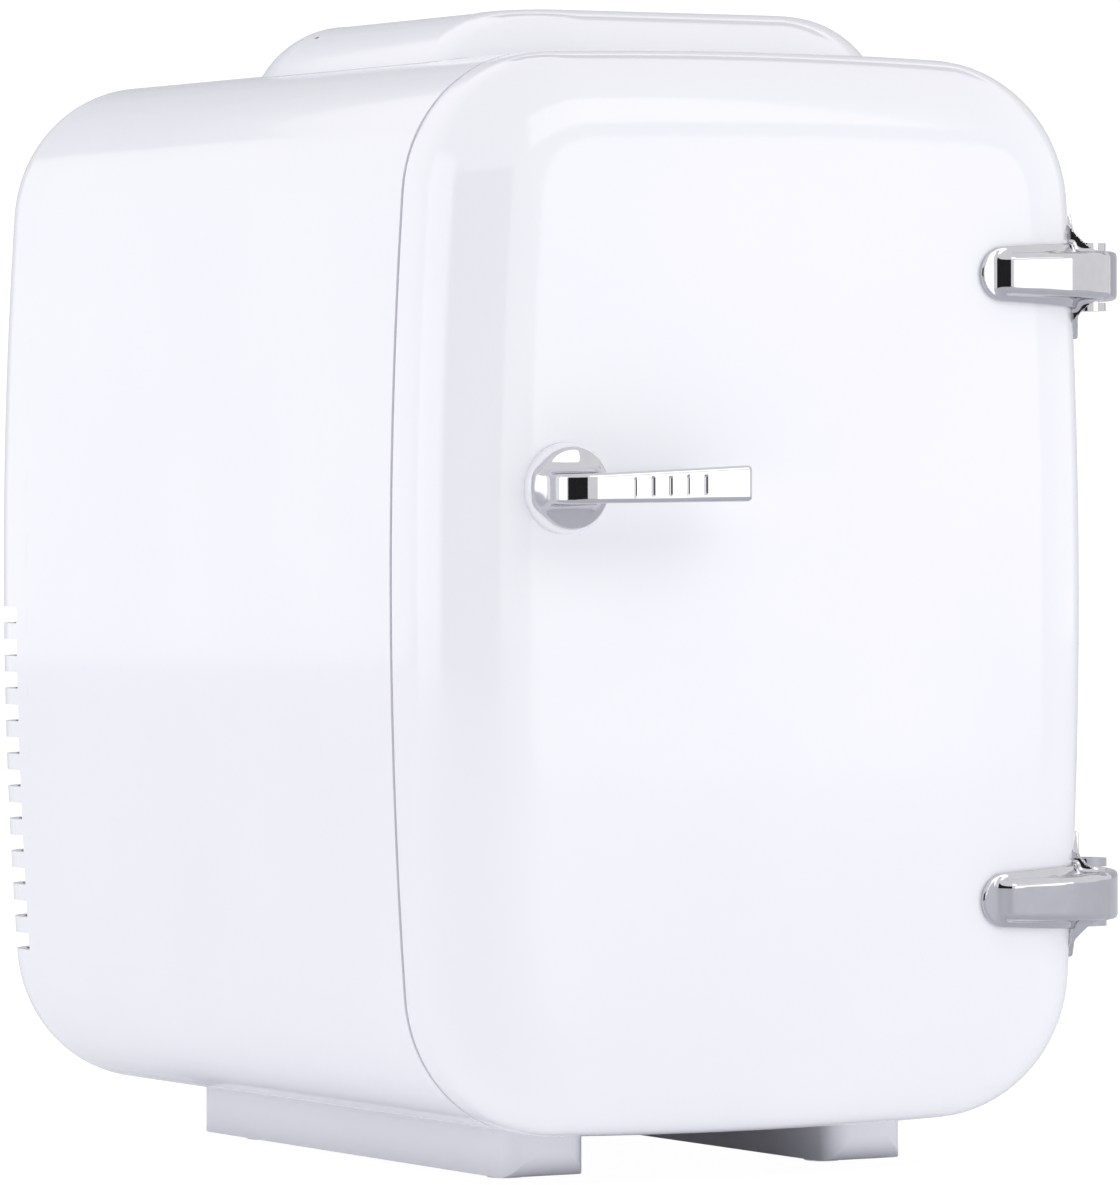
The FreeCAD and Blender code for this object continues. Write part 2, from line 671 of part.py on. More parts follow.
def magnet_spans(extra):
    """Heights of the two door magnets, each longer by extra at both ends."""
    return [around(f"centre_z + {rise}", f"15 + {extra}") for rise in (-48, 48)]


def strike_plates():
    """Steel strips behind the front flange, which the door magnets pull to."""
    plates = [
        box(f"strike_plate_{number}", ("-84", "-72"),
            ("frame_front + wall", "frame_front + wall + 0.8"), span)
        for number, span in enumerate(magnet_spans("2"))
    ]
    node("strike_plates", group("strike_plates", plates))


def shelf():
    """Lift-out shelf: a plate with rows of long drain slots, on the liner's rails."""
    plate = rounded_box("shelf_plate", both("cavity_x - 0.5"), ("-56", "32"), ("centre_z - 3", "centre_z"),
                        "5", "z")
    lip = box("shelf_lip", both("cavity_x - 12"), ("-56", "-53.5"), ("centre_z - 3", "centre_z + 5"))
    slots = [
        box(f"shelf_slot_{row}_{column}", around(f"{column} * 12", "3.5"), around(f"{row} * 38 - 10", "15"),
            ("centre_z - 4", "centre_z + 1"))
        for row in (0, 1)
        for column in range(-4, 5)
    ]
    node("shelf", cut("shelf", fuse("shelf_solid", plate, lip), *slots))


# ---------------------------------------------------------------- cooling unit

def clamp_places():
    """The four screws that clamp the cooling unit, as x and z."""
    return [
        (f"{x}clamp_x", f"core_z {z} clamp_x")
        for x in ("-", "")
        for z in ("-", "+")
    ]


def fan_guard():
    """Slotted plate over the inner fan, on the cavity's rear wall."""
    plate = rounded_box("guard_plate", both("well_half + 5"), ("cavity_back - 2.5", "cavity_back"),
                        around("core_z", "well_half + 5"), "8", "y")
    slots = [
        box(f"guard_slot_{row}", both("26"), ("cavity_back - 3", "cavity_back + 1"),
            around(f"core_z + {row} * 6.6", "1.9"))
        for row in range(-4, 5)
    ]
    node("fan_guard", cut("fan_guard", plate, *slots))


def fan(name, half, front, rear, blade_r, hub_r, shaft_r):
    """A square fan: frame with struts, motor seat and shaft, and a bladed rotor that turns on the shaft."""
    middle = ("0", "core_z")
    block = rounded_box(f"{name}_block", both(half), (front, rear), around("core_z", half), "4", "y")
    bore = rod(f"{name}_bore", "y", middle, (f"{front} - 1", f"{rear} + 1"), f"{blade_r} + 1")
    corners = [
        rod(f"{name}_corner_hole_{i}", "y", (f"{x}({half} - 4)", f"core_z {z} ({half} - 4)"),
            (f"{front} - 1", f"{rear} + 1"), "1.8")
        for i, (x, z) in enumerate((x, z) for x in ("-", "") for z in ("-", "+"))
    ]
    seat = rod(f"{name}_seat", "y", middle, (f"{rear} - 1.6", rear), hub_r)
    struts = [
        box(f"{name}_strut_x", both(half), (f"{rear} - 1.6", rear), around("core_z", "1.5")),
        box(f"{name}_strut_z", both("1.5"), (f"{rear} - 1.6", rear), around("core_z", half)),
    ]
    shaft = rod(f"{name}_shaft", "y", middle, (f"{front} + 2", f"{rear} - 1"), shaft_r)
    ring = cut(f"{name}_ring", block, bore, *corners)
    node(f"{name}_frame", fuse(f"{name}_frame", ring, seat, *struts, shaft))

    hub = rod(f"{name}_hub", "y", middle, (f"{front} + 0.6", f"{rear} - 2.2"), hub_r)
    blades = []
    for number in range(7):
        blade = doc.addObject("Part::Box", f"{name}_blade_{number}")
        bind(blade, "Length", f"{blade_r} - {hub_r} + 3")
        bind(blade, "Width", f"({rear} - {front} - 4.5) / 0.82")
        blade.Height = 1.2
        angle = 360 / 7 * number
        pitch = Rotation(Vector(1, 0, 0), 35)
        turn = Rotation(Vector(0, 1, 0), angle)
        blade.Placement = Placement(Vector(), turn.multiply(pitch))
        outward = turn.multVec(Vector(1, 0, 0))
        back = turn.multiply(pitch).multVec(Vector(0, 1, 0))
        across = f"({rear} - {front} - 4.5) / 1.64"
        put(blade, f"({hub_r} - 2) * ({outward.x:.6f}) - {across} * ({back.x:.6f})",
            f"({front} + {rear}) / 2 - 0.8 - {across} * ({back.y:.6f})",
            f"core_z + ({hub_r} - 2) * ({outward.z:.6f}) - {across} * ({back.z:.6f})")
        blades.append(blade)
    swept = rod(f"{name}_swept", "y", middle, (f"{front} + 0.6", f"{rear} - 2.2"), blade_r)
    wheel = common(f"{name}_wheel", fuse(f"{name}_blades", hub, *blades), swept)
    hole = rod(f"{name}_rotor_hole", "y", middle, (f"{front} + 1.6", f"{rear}"), f"{shaft_r} + running_gap")
    node(f"{name}_rotor", cut(f"{name}_rotor", wheel, hole))


def finned_sink(name, half, plate, fins, count, pitch, thick, fin_half):
    """A plate with a row of upright fins on one side, drilled for the clamp screws."""
    base = box(f"{name}_plate", both(half), plate, around("core_z", half))
    row = [
        box(f"{name}_fin_{i}", around(f"{(i - (count - 1) / 2) * pitch}", f"{thick} / 2"), fins,
            around("core_z", fin_half))
        for i in range(count)
    ]
    holes = [
        rod(f"{name}_hole_{i}", "y", place, (f"{plate[0]} - 1", f"{plate[1]} + 1"), "1.5")
        for i, place in enumerate(clamp_places())
    ]
    node(name, cut(name, fuse(f"{name}_solid", base, *row), *holes))


def cooling_unit():
    """Fans, heat sinks and the thermoelectric module between them."""
    fan_guard()
    fan("inner_fan", "inner_fan_half", "inner_fan_front", "inner_fan_back", "inner_blade", "inner_hub", "1.2")
    finned_sink("cold_sink", "well_half", ("cold_plate_front", "cold_plate_back"),
                ("cold_fin_front", "cold_plate_front"), 9, 6, 1.4, "30")
    node("spacer_block", box("spacer_block", both("spacer_half"), ("cold_plate_back", "module_front"),
                             around("core_z", "spacer_half")))
    node("thermoelectric_module", box("thermoelectric_module", both("spacer_half"),
                                      ("module_front", "module_back"), around("core_z", "spacer_half")))
    finned_sink("hot_sink", "hot_half", ("module_back", "hot_plate_back"),
                ("hot_plate_back", "hot_fin_back"), 15, 6, 1.2, "hot_half")
    screws = [
        fuse(f"clamp_screw_{i}",
             rod(f"clamp_shank_{i}", "y", place, ("cold_plate_front + 0.5", "hot_plate_back"), "1.45"),
             rod(f"clamp_head_{i}", "y", place, ("hot_plate_back", "hot_plate_back + 2"), "2.2"))
        for i, place in enumerate(clamp_places())
    ]
    node("heat_sink_screws", group("heat_sink_screws", screws))
    fan("rear_fan", "rear_fan_half", "hot_fin_back", "rear_fan_back", "rear_blade", "rear_hub", "1.6")


# ---------------------------------------------------------------- electrics

def circuit_board():
    """Control board on four standoffs behind the sockets, with its components and the module's wires."""
    board = ("board_front", "board_back")
    plate = box("board_plate", both("44"), board, ("socket_z - 14", "socket_z + 38"))
    places = [(x, z) for x in ("-40", "40") for z in ("socket_z - 10.5", "socket_z + 34.5")]
    holes = [rod(f"board_hole_{i}", "y", place, ("board_front - 1", "board_back + 1"), "1.5")
             for i, place in enumerate(places)]
    node("circuit_board", cut("circuit_board", plate, *holes))
    standoffs = [rod(f"standoff_{i}", "y", place, ("board_back", "back - wall"), "3")
                 for i, place in enumerate(places)]
    node("board_standoffs", group("board_standoffs", standoffs))
    parts = [
        rounded_box("transformer", ("-38", "-14"), ("board_front - 17", "board_front"),
                    ("socket_z - 4", "socket_z + 20"), "2", "y"),
        rod("capacitor_large", "y", ("28", "socket_z + 22"), ("board_front - 16", "board_front"), "6"),
        rod("capacitor_small", "y", ("38", "socket_z + 6"), ("board_front - 12", "board_front"), "4"),
        box("power_switch", ("22", "32"), ("board_front - 4.5", "board_front"),
            ("socket_z - 8", "socket_z + 6")),
        box("terminal_block", ("2", "20"), ("board_front - 9", "board_front"),
            ("socket_z + 4", "socket_z + 14")),
    ]
    node("board_components", group("board_components", parts))


def bent_wire(name, points, bend_r, radius):
    """A round wire of straight runs joined by arcs of one radius."""
    edges = []
    start = points[0]
    for before, corner, after in zip(points, points[1:], points[2:]):
        back = (before - corner).normalize()
        ahead = (after - corner).normalize()
        half = back.getAngle(ahead) / 2
        reach = bend_r / math.tan(half)
        middle = corner + (back + ahead).normalize() * (bend_r / math.sin(half) - bend_r)
        first = corner + back * reach
        last = corner + ahead * reach
        edges.append(Part.LineSegment(start, first).toShape())
        edges.append(Part.Arc(first, middle, last).toShape())
        start = last
    edges.append(Part.LineSegment(start, points[-1]).toShape())
    section = Part.Wire(Part.Circle(points[0], points[1] - points[0], radius).toShape())
    solid = doc.addObject("Part::Feature", name)
    solid.Shape = Part.Wire(edges).makePipeShell([section], True, True)
    return solid


def module_wires():
    """Two wires from the board's terminal block to the thermoelectric module's upper edge."""
    middle_y = (VALUES["foam_back"] + VALUES["module_back"]) / 2
    terminal = Vector(0, VALUES["board_front"] - 5, VALUES["socket_z"] + 4)
    wires = []
    for number, x in enumerate((7, 15)):
        route = [
            Vector(x, terminal.y, terminal.z),
            Vector(x, terminal.y, terminal.z - 14),
            Vector(x, middle_y, terminal.z - 34),
            Vector(x, middle_y, VALUES["core_z"] + VALUES["spacer_half"]),
        ]
        wires.append(bent_wire(f"module_wire_{number}", route, 8, 0.9))
    node("module_wires", group("module_wires", wires))


def mode_switch():
    """Three-position rocker switch in a bezel, on its pin."""
    flange = box("switch_flange", around("rocker_x", "12.5"), ("back", "socket_proud"),
                 around("socket_z", "9"))
    case = box("switch_case", around("rocker_x", "11"), ("back - 14", "back"), around("socket_z", "7.5"))
    room = box("switch_room", around("rocker_x", "9.9"), ("back - 8", "back + 2"), around("socket_z", "6"))
    pin_span = around("socket_z", "7")
    bore = rod("switch_bore", "z", ("rocker_x", "rocker_y"), pin_span, "1")
    node("mode_switch_bezel", cut("mode_switch_bezel", fuse("switch_body", flange, case), room, bore))
    paddle = prism("rocker_paddle", "XY", [
        ("rocker_x - 8", "rocker_y - 3.4"),
        ("rocker_x + 8", "rocker_y - 3.4"),
        ("rocker_x + 9.2", "rocker_y + 2.4"),
        ("rocker_x", "rocker_y + 1.7"),
        ("rocker_x - 9.2", "rocker_y + 2.4"),
    ], around("socket_z", "5.7"))
    hole = rod("rocker_hole", "z", ("rocker_x", "rocker_y"), around("socket_z", "8"), "1 + running_gap")
    node("mode_switch_rocker", cut("mode_switch_rocker", paddle, hole))
    node("rocker_pin", rod("rocker_pin", "z", ("rocker_x", "rocker_y"), pin_span, "1"))


def sockets():
    """Two-pin mains inlet, low-voltage socket and indicator lens."""
    flange = rounded_box("inlet_flange", around("inlet_x", "14"), ("back", "socket_proud"),
                         around("socket_z", "9.5"), "3", "y")
    case = box("inlet_case", around("inlet_x", "12"), ("back - 15", "back"), around("socket_z", "7.5"))
    room = [box("inlet_room", around("inlet_x", "4"), ("back - 12", "back + 2"), around("socket_z", "4.2"))]
    for side, sign in SIDES:
        room.append(rod(f"inlet_room_{side}", "y", (f"inlet_x + {sign}4", "socket_z"),
                        ("back - 12", "back + 2"), "4.2"))
    node("ac_inlet", cut("ac_inlet", fuse("inlet_body", flange, case), *room))
    pins = [
        rod(f"inlet_pin_{side}", "y", (f"inlet_x + {sign}4.3", "socket_z"), ("back - 12", "back - 1"), "1.2")
        for side, sign in SIDES
    ]
    node("ac_inlet_pins", group("ac_inlet_pins", pins))
    barrel = fuse("socket_body",
                  rod("socket_flange", "y", ("0", "socket_z"), ("back", "socket_proud"), "7.5"),
                  rod("socket_barrel", "y", ("0", "socket_z"), ("back - 13", "back"), "5.5"))
    bore = rod("socket_bore", "y", ("0", "socket_z"), ("back - 10", "back + 2"), "3")
    node("dc_socket", cut("dc_socket", barrel, bore))
    node("dc_socket_pin", rod("dc_socket_pin", "y", ("0", "socket_z"), ("back - 10", "back - 0.5"), "1"))
    tip = value("back + 0.8")
    lens = rod("lens_body", "y", ("0", "socket_z + 16"), ("back - 4", "back + 0.8"), "2.5")
    node("indicator_lens", rounded("lens_round", lens, "0.7", lambda point: abs(point.y - tip) < 1e-4))


# ---------------------------------------------------------------- door

def door_shell():
    """Outer moulding of the door: bowed outline, rounded front edge, screw holes."""
    outer = outline_block("door_outer", "door_front", "door_back", "0", ("door_front", "door_round"))
    hollow = outline_block("door_hollow", "door_front + wall", "door_back + 1", "wall",
                           ("door_front + wall", "door_round - wall"))
    holes = [
        rod(f"door_hole_{i}", "y", place, ("door_front - 1", "door_front + wall + 1"), "1.5")
        for i, place in enumerate(handle_screw_places() + strap_screw_places())
    ]
    node("door_shell", cut("door_shell", outer, hollow, *holes))


def door_panel():
    """Inner panel: a plate inside the door's rim, a hollow plug that enters the cavity, a gasket groove."""
    plate = outline_block("panel_plate", "panel_front", "door_back", "wall")
    plug = rounded_box("panel_plug", both("plug_x"), ("panel_front", "plug_back"), ("plug_low", "plug_high"),
                       "cavity_round - 3", "y")
    room = rounded_box("panel_room", both("plug_x - wall"), ("panel_front - 1", "plug_back - wall"),
                       ("plug_low + wall", "plug_high - wall"), "cavity_round - 3 - wall", "y")
    groove = gasket_ring("panel_groove", "door_back + 1")
    node("door_panel", cut("door_panel", fuse("panel_solid", plate, plug), room, groove))


def gasket_ring(name, rear):
    """Rounded rectangular ring in the door panel's groove, up to one y."""
    outer = rounded_box(f"{name}_outer", both("gasket_out"), ("gasket_front", rear),
                        around("centre_z", "gasket_out + 33"), "25", "y")
    inner = rounded_box(f"{name}_inner", both("gasket_in"), ("gasket_front - 1", f"{rear} + 1"),
                        around("centre_z", "gasket_in + 33"), "15", "y")
    return cut(name, outer, inner)


def door_foam():
    """Insulation in the door and its plug, cleared for magnets and screw heads."""
    hollow = outline_block("door_foam_block", "door_front + wall", "panel_front", "wall",
                           ("door_front + wall", "door_round - wall"))
    plug = rounded_box("door_foam_plug", both("plug_x - wall"), ("panel_front", "plug_back - wall"),
                       ("plug_low + wall", "plug_high - wall"), "cavity_round - 3 - wall", "y")
    gaps = [
        box(f"door_foam_magnet_{i}", ("-82", "-74"), ("panel_front - 4", "panel_front + 1"), span)
        for i, span in enumerate(magnet_spans("0"))
    ]
    gaps += [
        rod(f"door_foam_screw_{i}", "y", place, ("door_front + wall - 1", "door_front + wall + 2.5"), "3")
        for i, place in enumerate(handle_screw_places() + strap_screw_places())
    ]
    node("door_foam", cut("door_foam", fuse("door_foam_solid", hollow, plug), *gaps))


def door_rack():
    """Open-topped rack clipped on the plug, with slots in its inner side."""
    block = box("rack_block", both("rack_x"), ("plug_back", "rack_back"), ("rack_low", "rack_high"))
    room = box("rack_room", both("rack_x - rack_wall"), ("plug_back + rack_wall", "rack_back - rack_wall"),
               ("rack_low + rack_wall", "rack_high + 1"))
    slots = [
        box(f"rack_slot_{i}", around(f"{i * 14}", "4.5"), ("rack_back - 3", "rack_back + 1"),
            ("rack_low + 8", "rack_high - 9"))
        for i in range(-3, 4)
    ]
    node("door_rack", cut("door_rack", block, room, *slots))


def door_magnets():
    """Two bar magnets behind the door panel."""
    bars = [
        box(f"door_magnet_{i}", ("-82", "-74"), ("panel_front - 4", "panel_front"), span)
        for i, span in enumerate(magnet_spans("0"))
    ]
    node("door_magnets", group("door_magnets", bars))


def handle_screw_places():
    """The two screws that hold the handle's disc, as x and z."""
    return [("handle_x - 5", "handle_z"), ("handle_x + 5", "handle_z")]


def door_handle():
    """White collar, and a chrome disc whose neck carries a flat lever."""
    top = "door_front - collar_thick"
    node("handle_collar", turned("handle_collar", "handle_x", "handle_z", [
        ("disc_radius - 2", "door_front"),
        ("disc_radius - 2", top),
        ("collar_radius - 2.2", top, "2.2"),
        ("collar_radius", f"{top} + 2.2"),
        ("collar_radius", "door_front"),
    ]))
    disc = turned("handle_disc", "handle_x", "handle_z", [
        ("0", "door_front"),
        ("0", f"{top} - 3.6", "16"),
        ("disc_radius", f"{top} - 0.5"),
        ("disc_radius", top),
        ("disc_radius - 2", top),
        ("disc_radius - 2", "door_front"),
    ])
    neck = cone("handle_neck", "y", ("handle_x", "handle_z"), ("lever_back", "door_front - 4"), ("3.9", "6"))
    half = VALUES["lever_tall"] / 2
    bar = doc.addObject("PartDesign::Body", "handle_bar")
    sketch = profile_sketch(bar, "handle_bar_profile", "XZ_Plane", ("0", "0", "-lever_back"), [
        ("-4", "lever_tall / 2"),
        ("-4", "-lever_tall / 2"),
        ("lever_tip - 2", "-lever_tall / 2", "2"),
        ("lever_tip", "2 - lever_tall / 2"),
        ("lever_tip", "lever_tall / 2 - 2", "2"),
        ("lever_tip - 2", "lever_tall / 2"),
    ])
    pad = pad_sketch(bar, sketch, "lever_back - lever_front")
    doc.recompute()
    front = VALUES["lever_front"]
    back = VALUES["lever_back"]
    soft = bar.newObject("PartDesign::Fillet", "handle_bar_round")
    soft.Base = (pad, edge_names(pad.Shape, lambda p: abs(p.y - front) < 1e-4 or abs(p.y - back) < 1e-4))
    soft.Radius = half / 2.2
    bar.Placement = Placement(Vector(), Rotation(Vector(0, 1, 0), -VALUES["lever_tilt"]))
    put(bar, "handle_x", "0", "handle_z")
    holes = [
        rod(f"handle_hole_{i}", "y", place, ("door_front - 5", "door_front + 1"), "1.5")
        for i, place in enumerate(handle_screw_places())
    ]
    node("door_handle", cut("door_handle", fuse("handle_solid", disc, neck, bar), *holes))
    node("handle_screws", group("handle_screws", inside_screws("handle_screw", handle_screw_places(), "4.5")))


def inside_screws(name, places, depth):
    """Screws from inside the door, their heads on the shell's inner face."""
    return [
        fuse(f"{name}_{i}",
             rod(f"{name}_shank_{i}", "y", place, (f"door_front - {depth}", "door_front + wall"), "1.45"),
             rod(f"{name}_head_{i}", "y", place, ("door_front + wall", "door_front + wall + 2"), "2.8"))
        for i, place in enumerate(places)
    ]


# ---------------------------------------------------------------- hinges

HINGES = (("upper", "hinge_high"), ("lower", "hinge_low"))


def strap_screw_places():
    """The screws that hold the hinge straps on the door, as x and z."""
    return [(x, height) for _, height in HINGES for x in ("62", "67")]


def leaf_screw_places():
    """The screws that hold the hinge leaves on the front frame, as y and z."""
    return [("leaf_back - 7", f"{height} {side} 7") for _, height in HINGES for side in ("-", "+")]


def flared(name, height, low, half, reach, top, span):
    """A bar's section seen from the front: concave flanks rise from a wide foot to the bar's edge."""
    return prism(name, "XZ", [
        (low, f"{height} - {half}"),
        (reach, f"{height} - {half}", "-flank_bow"),
        (top, f"{height} - strap_half - 0.4"),
        (top, f"{height} + strap_half + 0.4", "-flank_bow"),
        (reach, f"{height} + {half}"),
        (low, f"{height} + {half}"),
    ], span)


def strap_wings(name, height):
    """The strap's flared flanks, as high above the door's rounded edge as the bar at the bar's edge."""
    wings = flared(name, height, "door_round - 10", "flare_half", "door_round - 4", "door_round + strap_rise",
                   ("-door_round - 6", "door_round"))
    wings.Placement = Placement(Vector(), Rotation(Vector(0, 0, 1), -VALUES["flare_turn"]))
    return put(wings, "half_width - door_round", "door_front + door_round", "0")


def hinge_strap(name, height):
    """Chrome strap on the door: a pill flange, a bar that widens to the right, flared flanks, a knuckle."""
    plan = prism(f"{name}_plan", "XY", [
        ("strap_bar", "door_front + 6"),
        ("strap_bar", "door_front - strap_proud + 1.4", "1.6"),
        ("strap_bar + 1.4", "door_front - strap_proud"),
        ("hinge_x + knuckle - strap_bend", "door_front - strap_proud", "strap_bend"),
        ("hinge_x + knuckle", "hinge_y", "knuckle"),
        ("hinge_x", "hinge_y + knuckle", "knuckle"),
        ("hinge_x - knuckle", "hinge_y"),
        ("half_width - 9", "hinge_y"),
    ], around(height, "strap_half + 1"))
    face = prism(f"{name}_face", "XZ", [
        ("strap_bar - 1", f"{height} - 5"),
        ("hinge_x + knuckle + 1", f"{height} - strap_half"),
        ("hinge_x + knuckle + 1", f"{height} + strap_half"),
        ("strap_bar - 1", f"{height} + 5"),
    ], ("door_front - 10", "hinge_y + 10"))
    wing_plan = prism(f"{name}_wing_plan", "XY", [
        ("half_width - 5", "hinge_y"),
        ("half_width - 9", "door_front + 9"),
        ("half_width - 1", "door_front + 1.9", "strap_bend - 0.3"),
        ("hinge_x + knuckle - 0.1", "hinge_y"),
        ("hinge_x + knuckle - 0.1", "door_back - 2"),
        ("half_width - 5", "door_back - 2"),
    ], around(height, "flare_half + 1"))
    wings = common(f"{name}_wings", strap_wings(f"{name}_flare", height), wing_plan)
    foot_face = fuse(f"{name}_foot_face", prism(f"{name}_foot_band", "XZ", [
        ("strap_start + 6.8", f"{height} - 6.8"),
        ("half_width - 9", f"{height} - 8.2", "-9"),
        ("half_width - 1", f"{height} - flare_half"),
        ("half_width + 3", f"{height} - flare_half"),
        ("half_width + 3", f"{height} + flare_half"),
        ("half_width - 1", f"{height} + flare_half", "-9"),
        ("half_width - 9", f"{height} + 8.2"),
        ("strap_start + 6.8", f"{height} + 6.8"),
    ], ("door_front - 3", "door_back - 2")), rod(
        f"{name}_foot_end", "y", ("strap_start + 6.8", height), ("door_front - 3", "door_back - 2"), "6.8"))
    skin = outline_block(f"{name}_skin", "door_front - 1.2", "door_back - 2", "-1.2",
                         ("door_front - 1.2", "door_round + 1.2"))
    foot = common(f"{name}_foot", foot_face, skin)
    body = fuse(f"{name}_solid", common(f"{name}_bar", plan, face), wings, foot)
    door = outline_block(f"{name}_door", "door_front", "door_back", "0", ("door_front", "door_round"))
    tools = [door, rod(f"{name}_hole", "z", ("hinge_x", "hinge_y"), around(height, "20"),
                       "hinge_pin + running_gap")]
    for end, sign in (("below", "-"), ("above", "+")):
        span = sorted((f"{height} {sign} (strap_half)", f"{height} {sign} (strap_half + 2.8)"), key=value)
        tools.append(rod(f"{name}_collar_room_{end}", "z", ("hinge_x", "hinge_y"), span, "knuckle + 0.4"))
        tools.append(box(f"{name}_neck_room_{end}", ("hinge_x - knuckle - 0.4", "hinge_x + knuckle + 1"),
                         ("hinge_y", "door_back"), span))
        tools.append(box(f"{name}_swing_room_{end}", ("hinge_x", "hinge_x + knuckle + 1"),
                         ("hinge_y - 10", "door_back"), span))
    for i, x in enumerate(("62", "67")):
        tools.append(rod(f"{name}_screw_hole_{i}", "y", (x, height),
                         ("door_front - 2.6", "door_front + 1"), "1.5"))
    node(name, cut(name, body, *tools))


def hinge_leaf(name, height):
    """Chrome leaf on the cabinet's side: flared like the strap, with a collar at each end of its knuckle."""
    plan = prism(f"{name}_plan", "XY", [
        ("half_width - 6", "frame_front + 0.3"),
        ("hinge_x + knuckle - 0.4", "frame_front + 0.3", "60"),
        ("half_width + 1.5", "leaf_back"),
        ("half_width - 6", "leaf_back"),
    ], around(height, "leaf_half"))
    flare = flared(f"{name}_flare", height, "half_width - 8", "leaf_half", "half_width + 0.2",
                   "hinge_x + knuckle", ("hinge_y - 1", "leaf_back + 1"))
    solids = [common(f"{name}_wings", plan, flare)]
    for end, sign in (("below", "-"), ("above", "+")):
        span = sorted((f"{height} {sign} (strap_half + 0.3)", f"{height} {sign} (strap_half + 2.4)"),
                      key=value)
        solids.append(rod(f"{name}_collar_{end}", "z", ("hinge_x", "hinge_y"), span, "knuckle"))
        solids.append(box(f"{name}_neck_{end}", ("hinge_x - knuckle", "hinge_x + 1"),
                          ("hinge_y", "frame_front + 1"), span))
    frame = outline_block(f"{name}_frame", "frame_front", "frame_seam", "0")
    hole = rod(f"{name}_hole", "z", ("hinge_x", "hinge_y"), around(height, "20"), "hinge_pin")
    screws = [
        rod(f"{name}_screw_hole_{i}", "x", (y, z), ("half_width - 12", "half_width + 0.5"), "1.5")
        for i, (y, z) in enumerate((("leaf_back - 7", f"{height} - 7"), ("leaf_back - 7", f"{height} + 7")))
    ]
    node(name, cut(name, fuse(f"{name}_solid", *solids), frame, hole, *screws))


def hinges():
    """Two straps, two leaves, their pins and their screws."""
    for name, height in HINGES:
        hinge_strap(f"{name}_hinge_strap", height)
        hinge_leaf(f"{name}_hinge_leaf", height)
    pins = [
        rod(f"hinge_pin_{name}", "z", ("hinge_x", "hinge_y"), around(height, "strap_half + 2.2"), "hinge_pin")
        for name, height in HINGES
    ]
    node("hinge_pins", group("hinge_pins", pins))
    node("strap_screws", group("strap_screws", inside_screws("strap_screw", strap_screw_places(), "2.5")))
    screws = [
        rod(f"leaf_shank_{i}", "x", (y, z), ("half_width - 10", "half_width - 1"), "1.45")
        for i, (y, z) in enumerate(leaf_screw_places())
    ]
    node("leaf_screws", group("leaf_screws", screws))


front_frame()
main_shell()
rear_cover()
foot_pads()
top_housing()
carry_handle()
inner_liner()
cabinet_foam()
strike_plates()
shelf()
cooling_unit()
circuit_board()
module_wires()
mode_switch()
sockets()
door_shell()
door_panel()
node("door_gasket", gasket_ring("door_gasket", "gasket_back"))
door_foam()
door_rack()
door_magnets()
door_handle()
hinges()

doc.recompute()
failed = [thing.Label for thing in doc.Objects if "Invalid" in thing.State or "Error" in thing.State]
if failed:
    raise RuntimeError(f"did not compute: {failed}")
os.makedirs("parts", exist_ok=True)
for thing in NODES:
    if thing.Shape.isNull() or not thing.Shape.isValid():
        raise RuntimeError(f"{thing.Label} has no valid shape")
    thing.Shape.exportStep(f"parts/{thing.Label}.step")
    print(f"{thing.Label}: {len(thing.Shape.Solids)} solid(s), {thing.Shape.Volume / 1000:.2f} cm3")
whole = Part.makeCompound([thing.Shape for thing in NODES]).BoundBox
print(f"{len(NODES)} nodes, x {whole.XMin:.2f} {whole.XMax:.2f}, y {whole.YMin:.2f} {whole.YMax:.2f},"
      f" z {whole.ZMin:.2f} {whole.ZMax:.2f}")
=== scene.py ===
"""Counter-top thermoelectric mini fridge: looks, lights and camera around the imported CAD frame.

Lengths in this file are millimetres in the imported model's own frame (X right, -Y front, Z up) and become
metres when a mesh is made.
"""
import json
import math

import bmesh
import bpy
import numpy as np
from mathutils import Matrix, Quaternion, Vector


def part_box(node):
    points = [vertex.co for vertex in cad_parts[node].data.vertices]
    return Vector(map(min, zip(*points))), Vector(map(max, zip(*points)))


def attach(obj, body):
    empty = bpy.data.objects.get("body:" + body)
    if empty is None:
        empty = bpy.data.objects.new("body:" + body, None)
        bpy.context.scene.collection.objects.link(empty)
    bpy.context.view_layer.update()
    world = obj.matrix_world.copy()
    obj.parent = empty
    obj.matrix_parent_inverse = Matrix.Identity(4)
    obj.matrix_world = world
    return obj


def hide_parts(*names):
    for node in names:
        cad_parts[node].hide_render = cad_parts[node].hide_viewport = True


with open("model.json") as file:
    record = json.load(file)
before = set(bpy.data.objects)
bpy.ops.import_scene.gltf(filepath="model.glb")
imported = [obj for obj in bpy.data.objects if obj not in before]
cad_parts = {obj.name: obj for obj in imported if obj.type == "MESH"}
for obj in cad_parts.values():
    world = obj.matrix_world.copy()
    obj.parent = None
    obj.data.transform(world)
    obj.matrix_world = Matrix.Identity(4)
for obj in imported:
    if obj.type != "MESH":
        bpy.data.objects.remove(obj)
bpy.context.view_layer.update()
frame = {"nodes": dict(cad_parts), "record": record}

MM = 0.001

# ---------------------------------------------------------------- materials


def shader(name, colour, roughness, metallic=0.0, coat=0.0):
    """A new material and its Principled shader, with the values that are the same all over."""
    material = bpy.data.materials.new(name)
    material.use_nodes = True
    principled = material.node_tree.nodes["Principled BSDF"]
    principled.inputs["Base Color"].default_value = (*colour, 1)
    principled.inputs["Roughness"].default_value = roughness
    principled.inputs["Metallic"].default_value = metallic
    principled.inputs["Coat Weight"].default_value = coat
    principled.inputs["Coat Roughness"].default_value = 0.03
    return material, principled


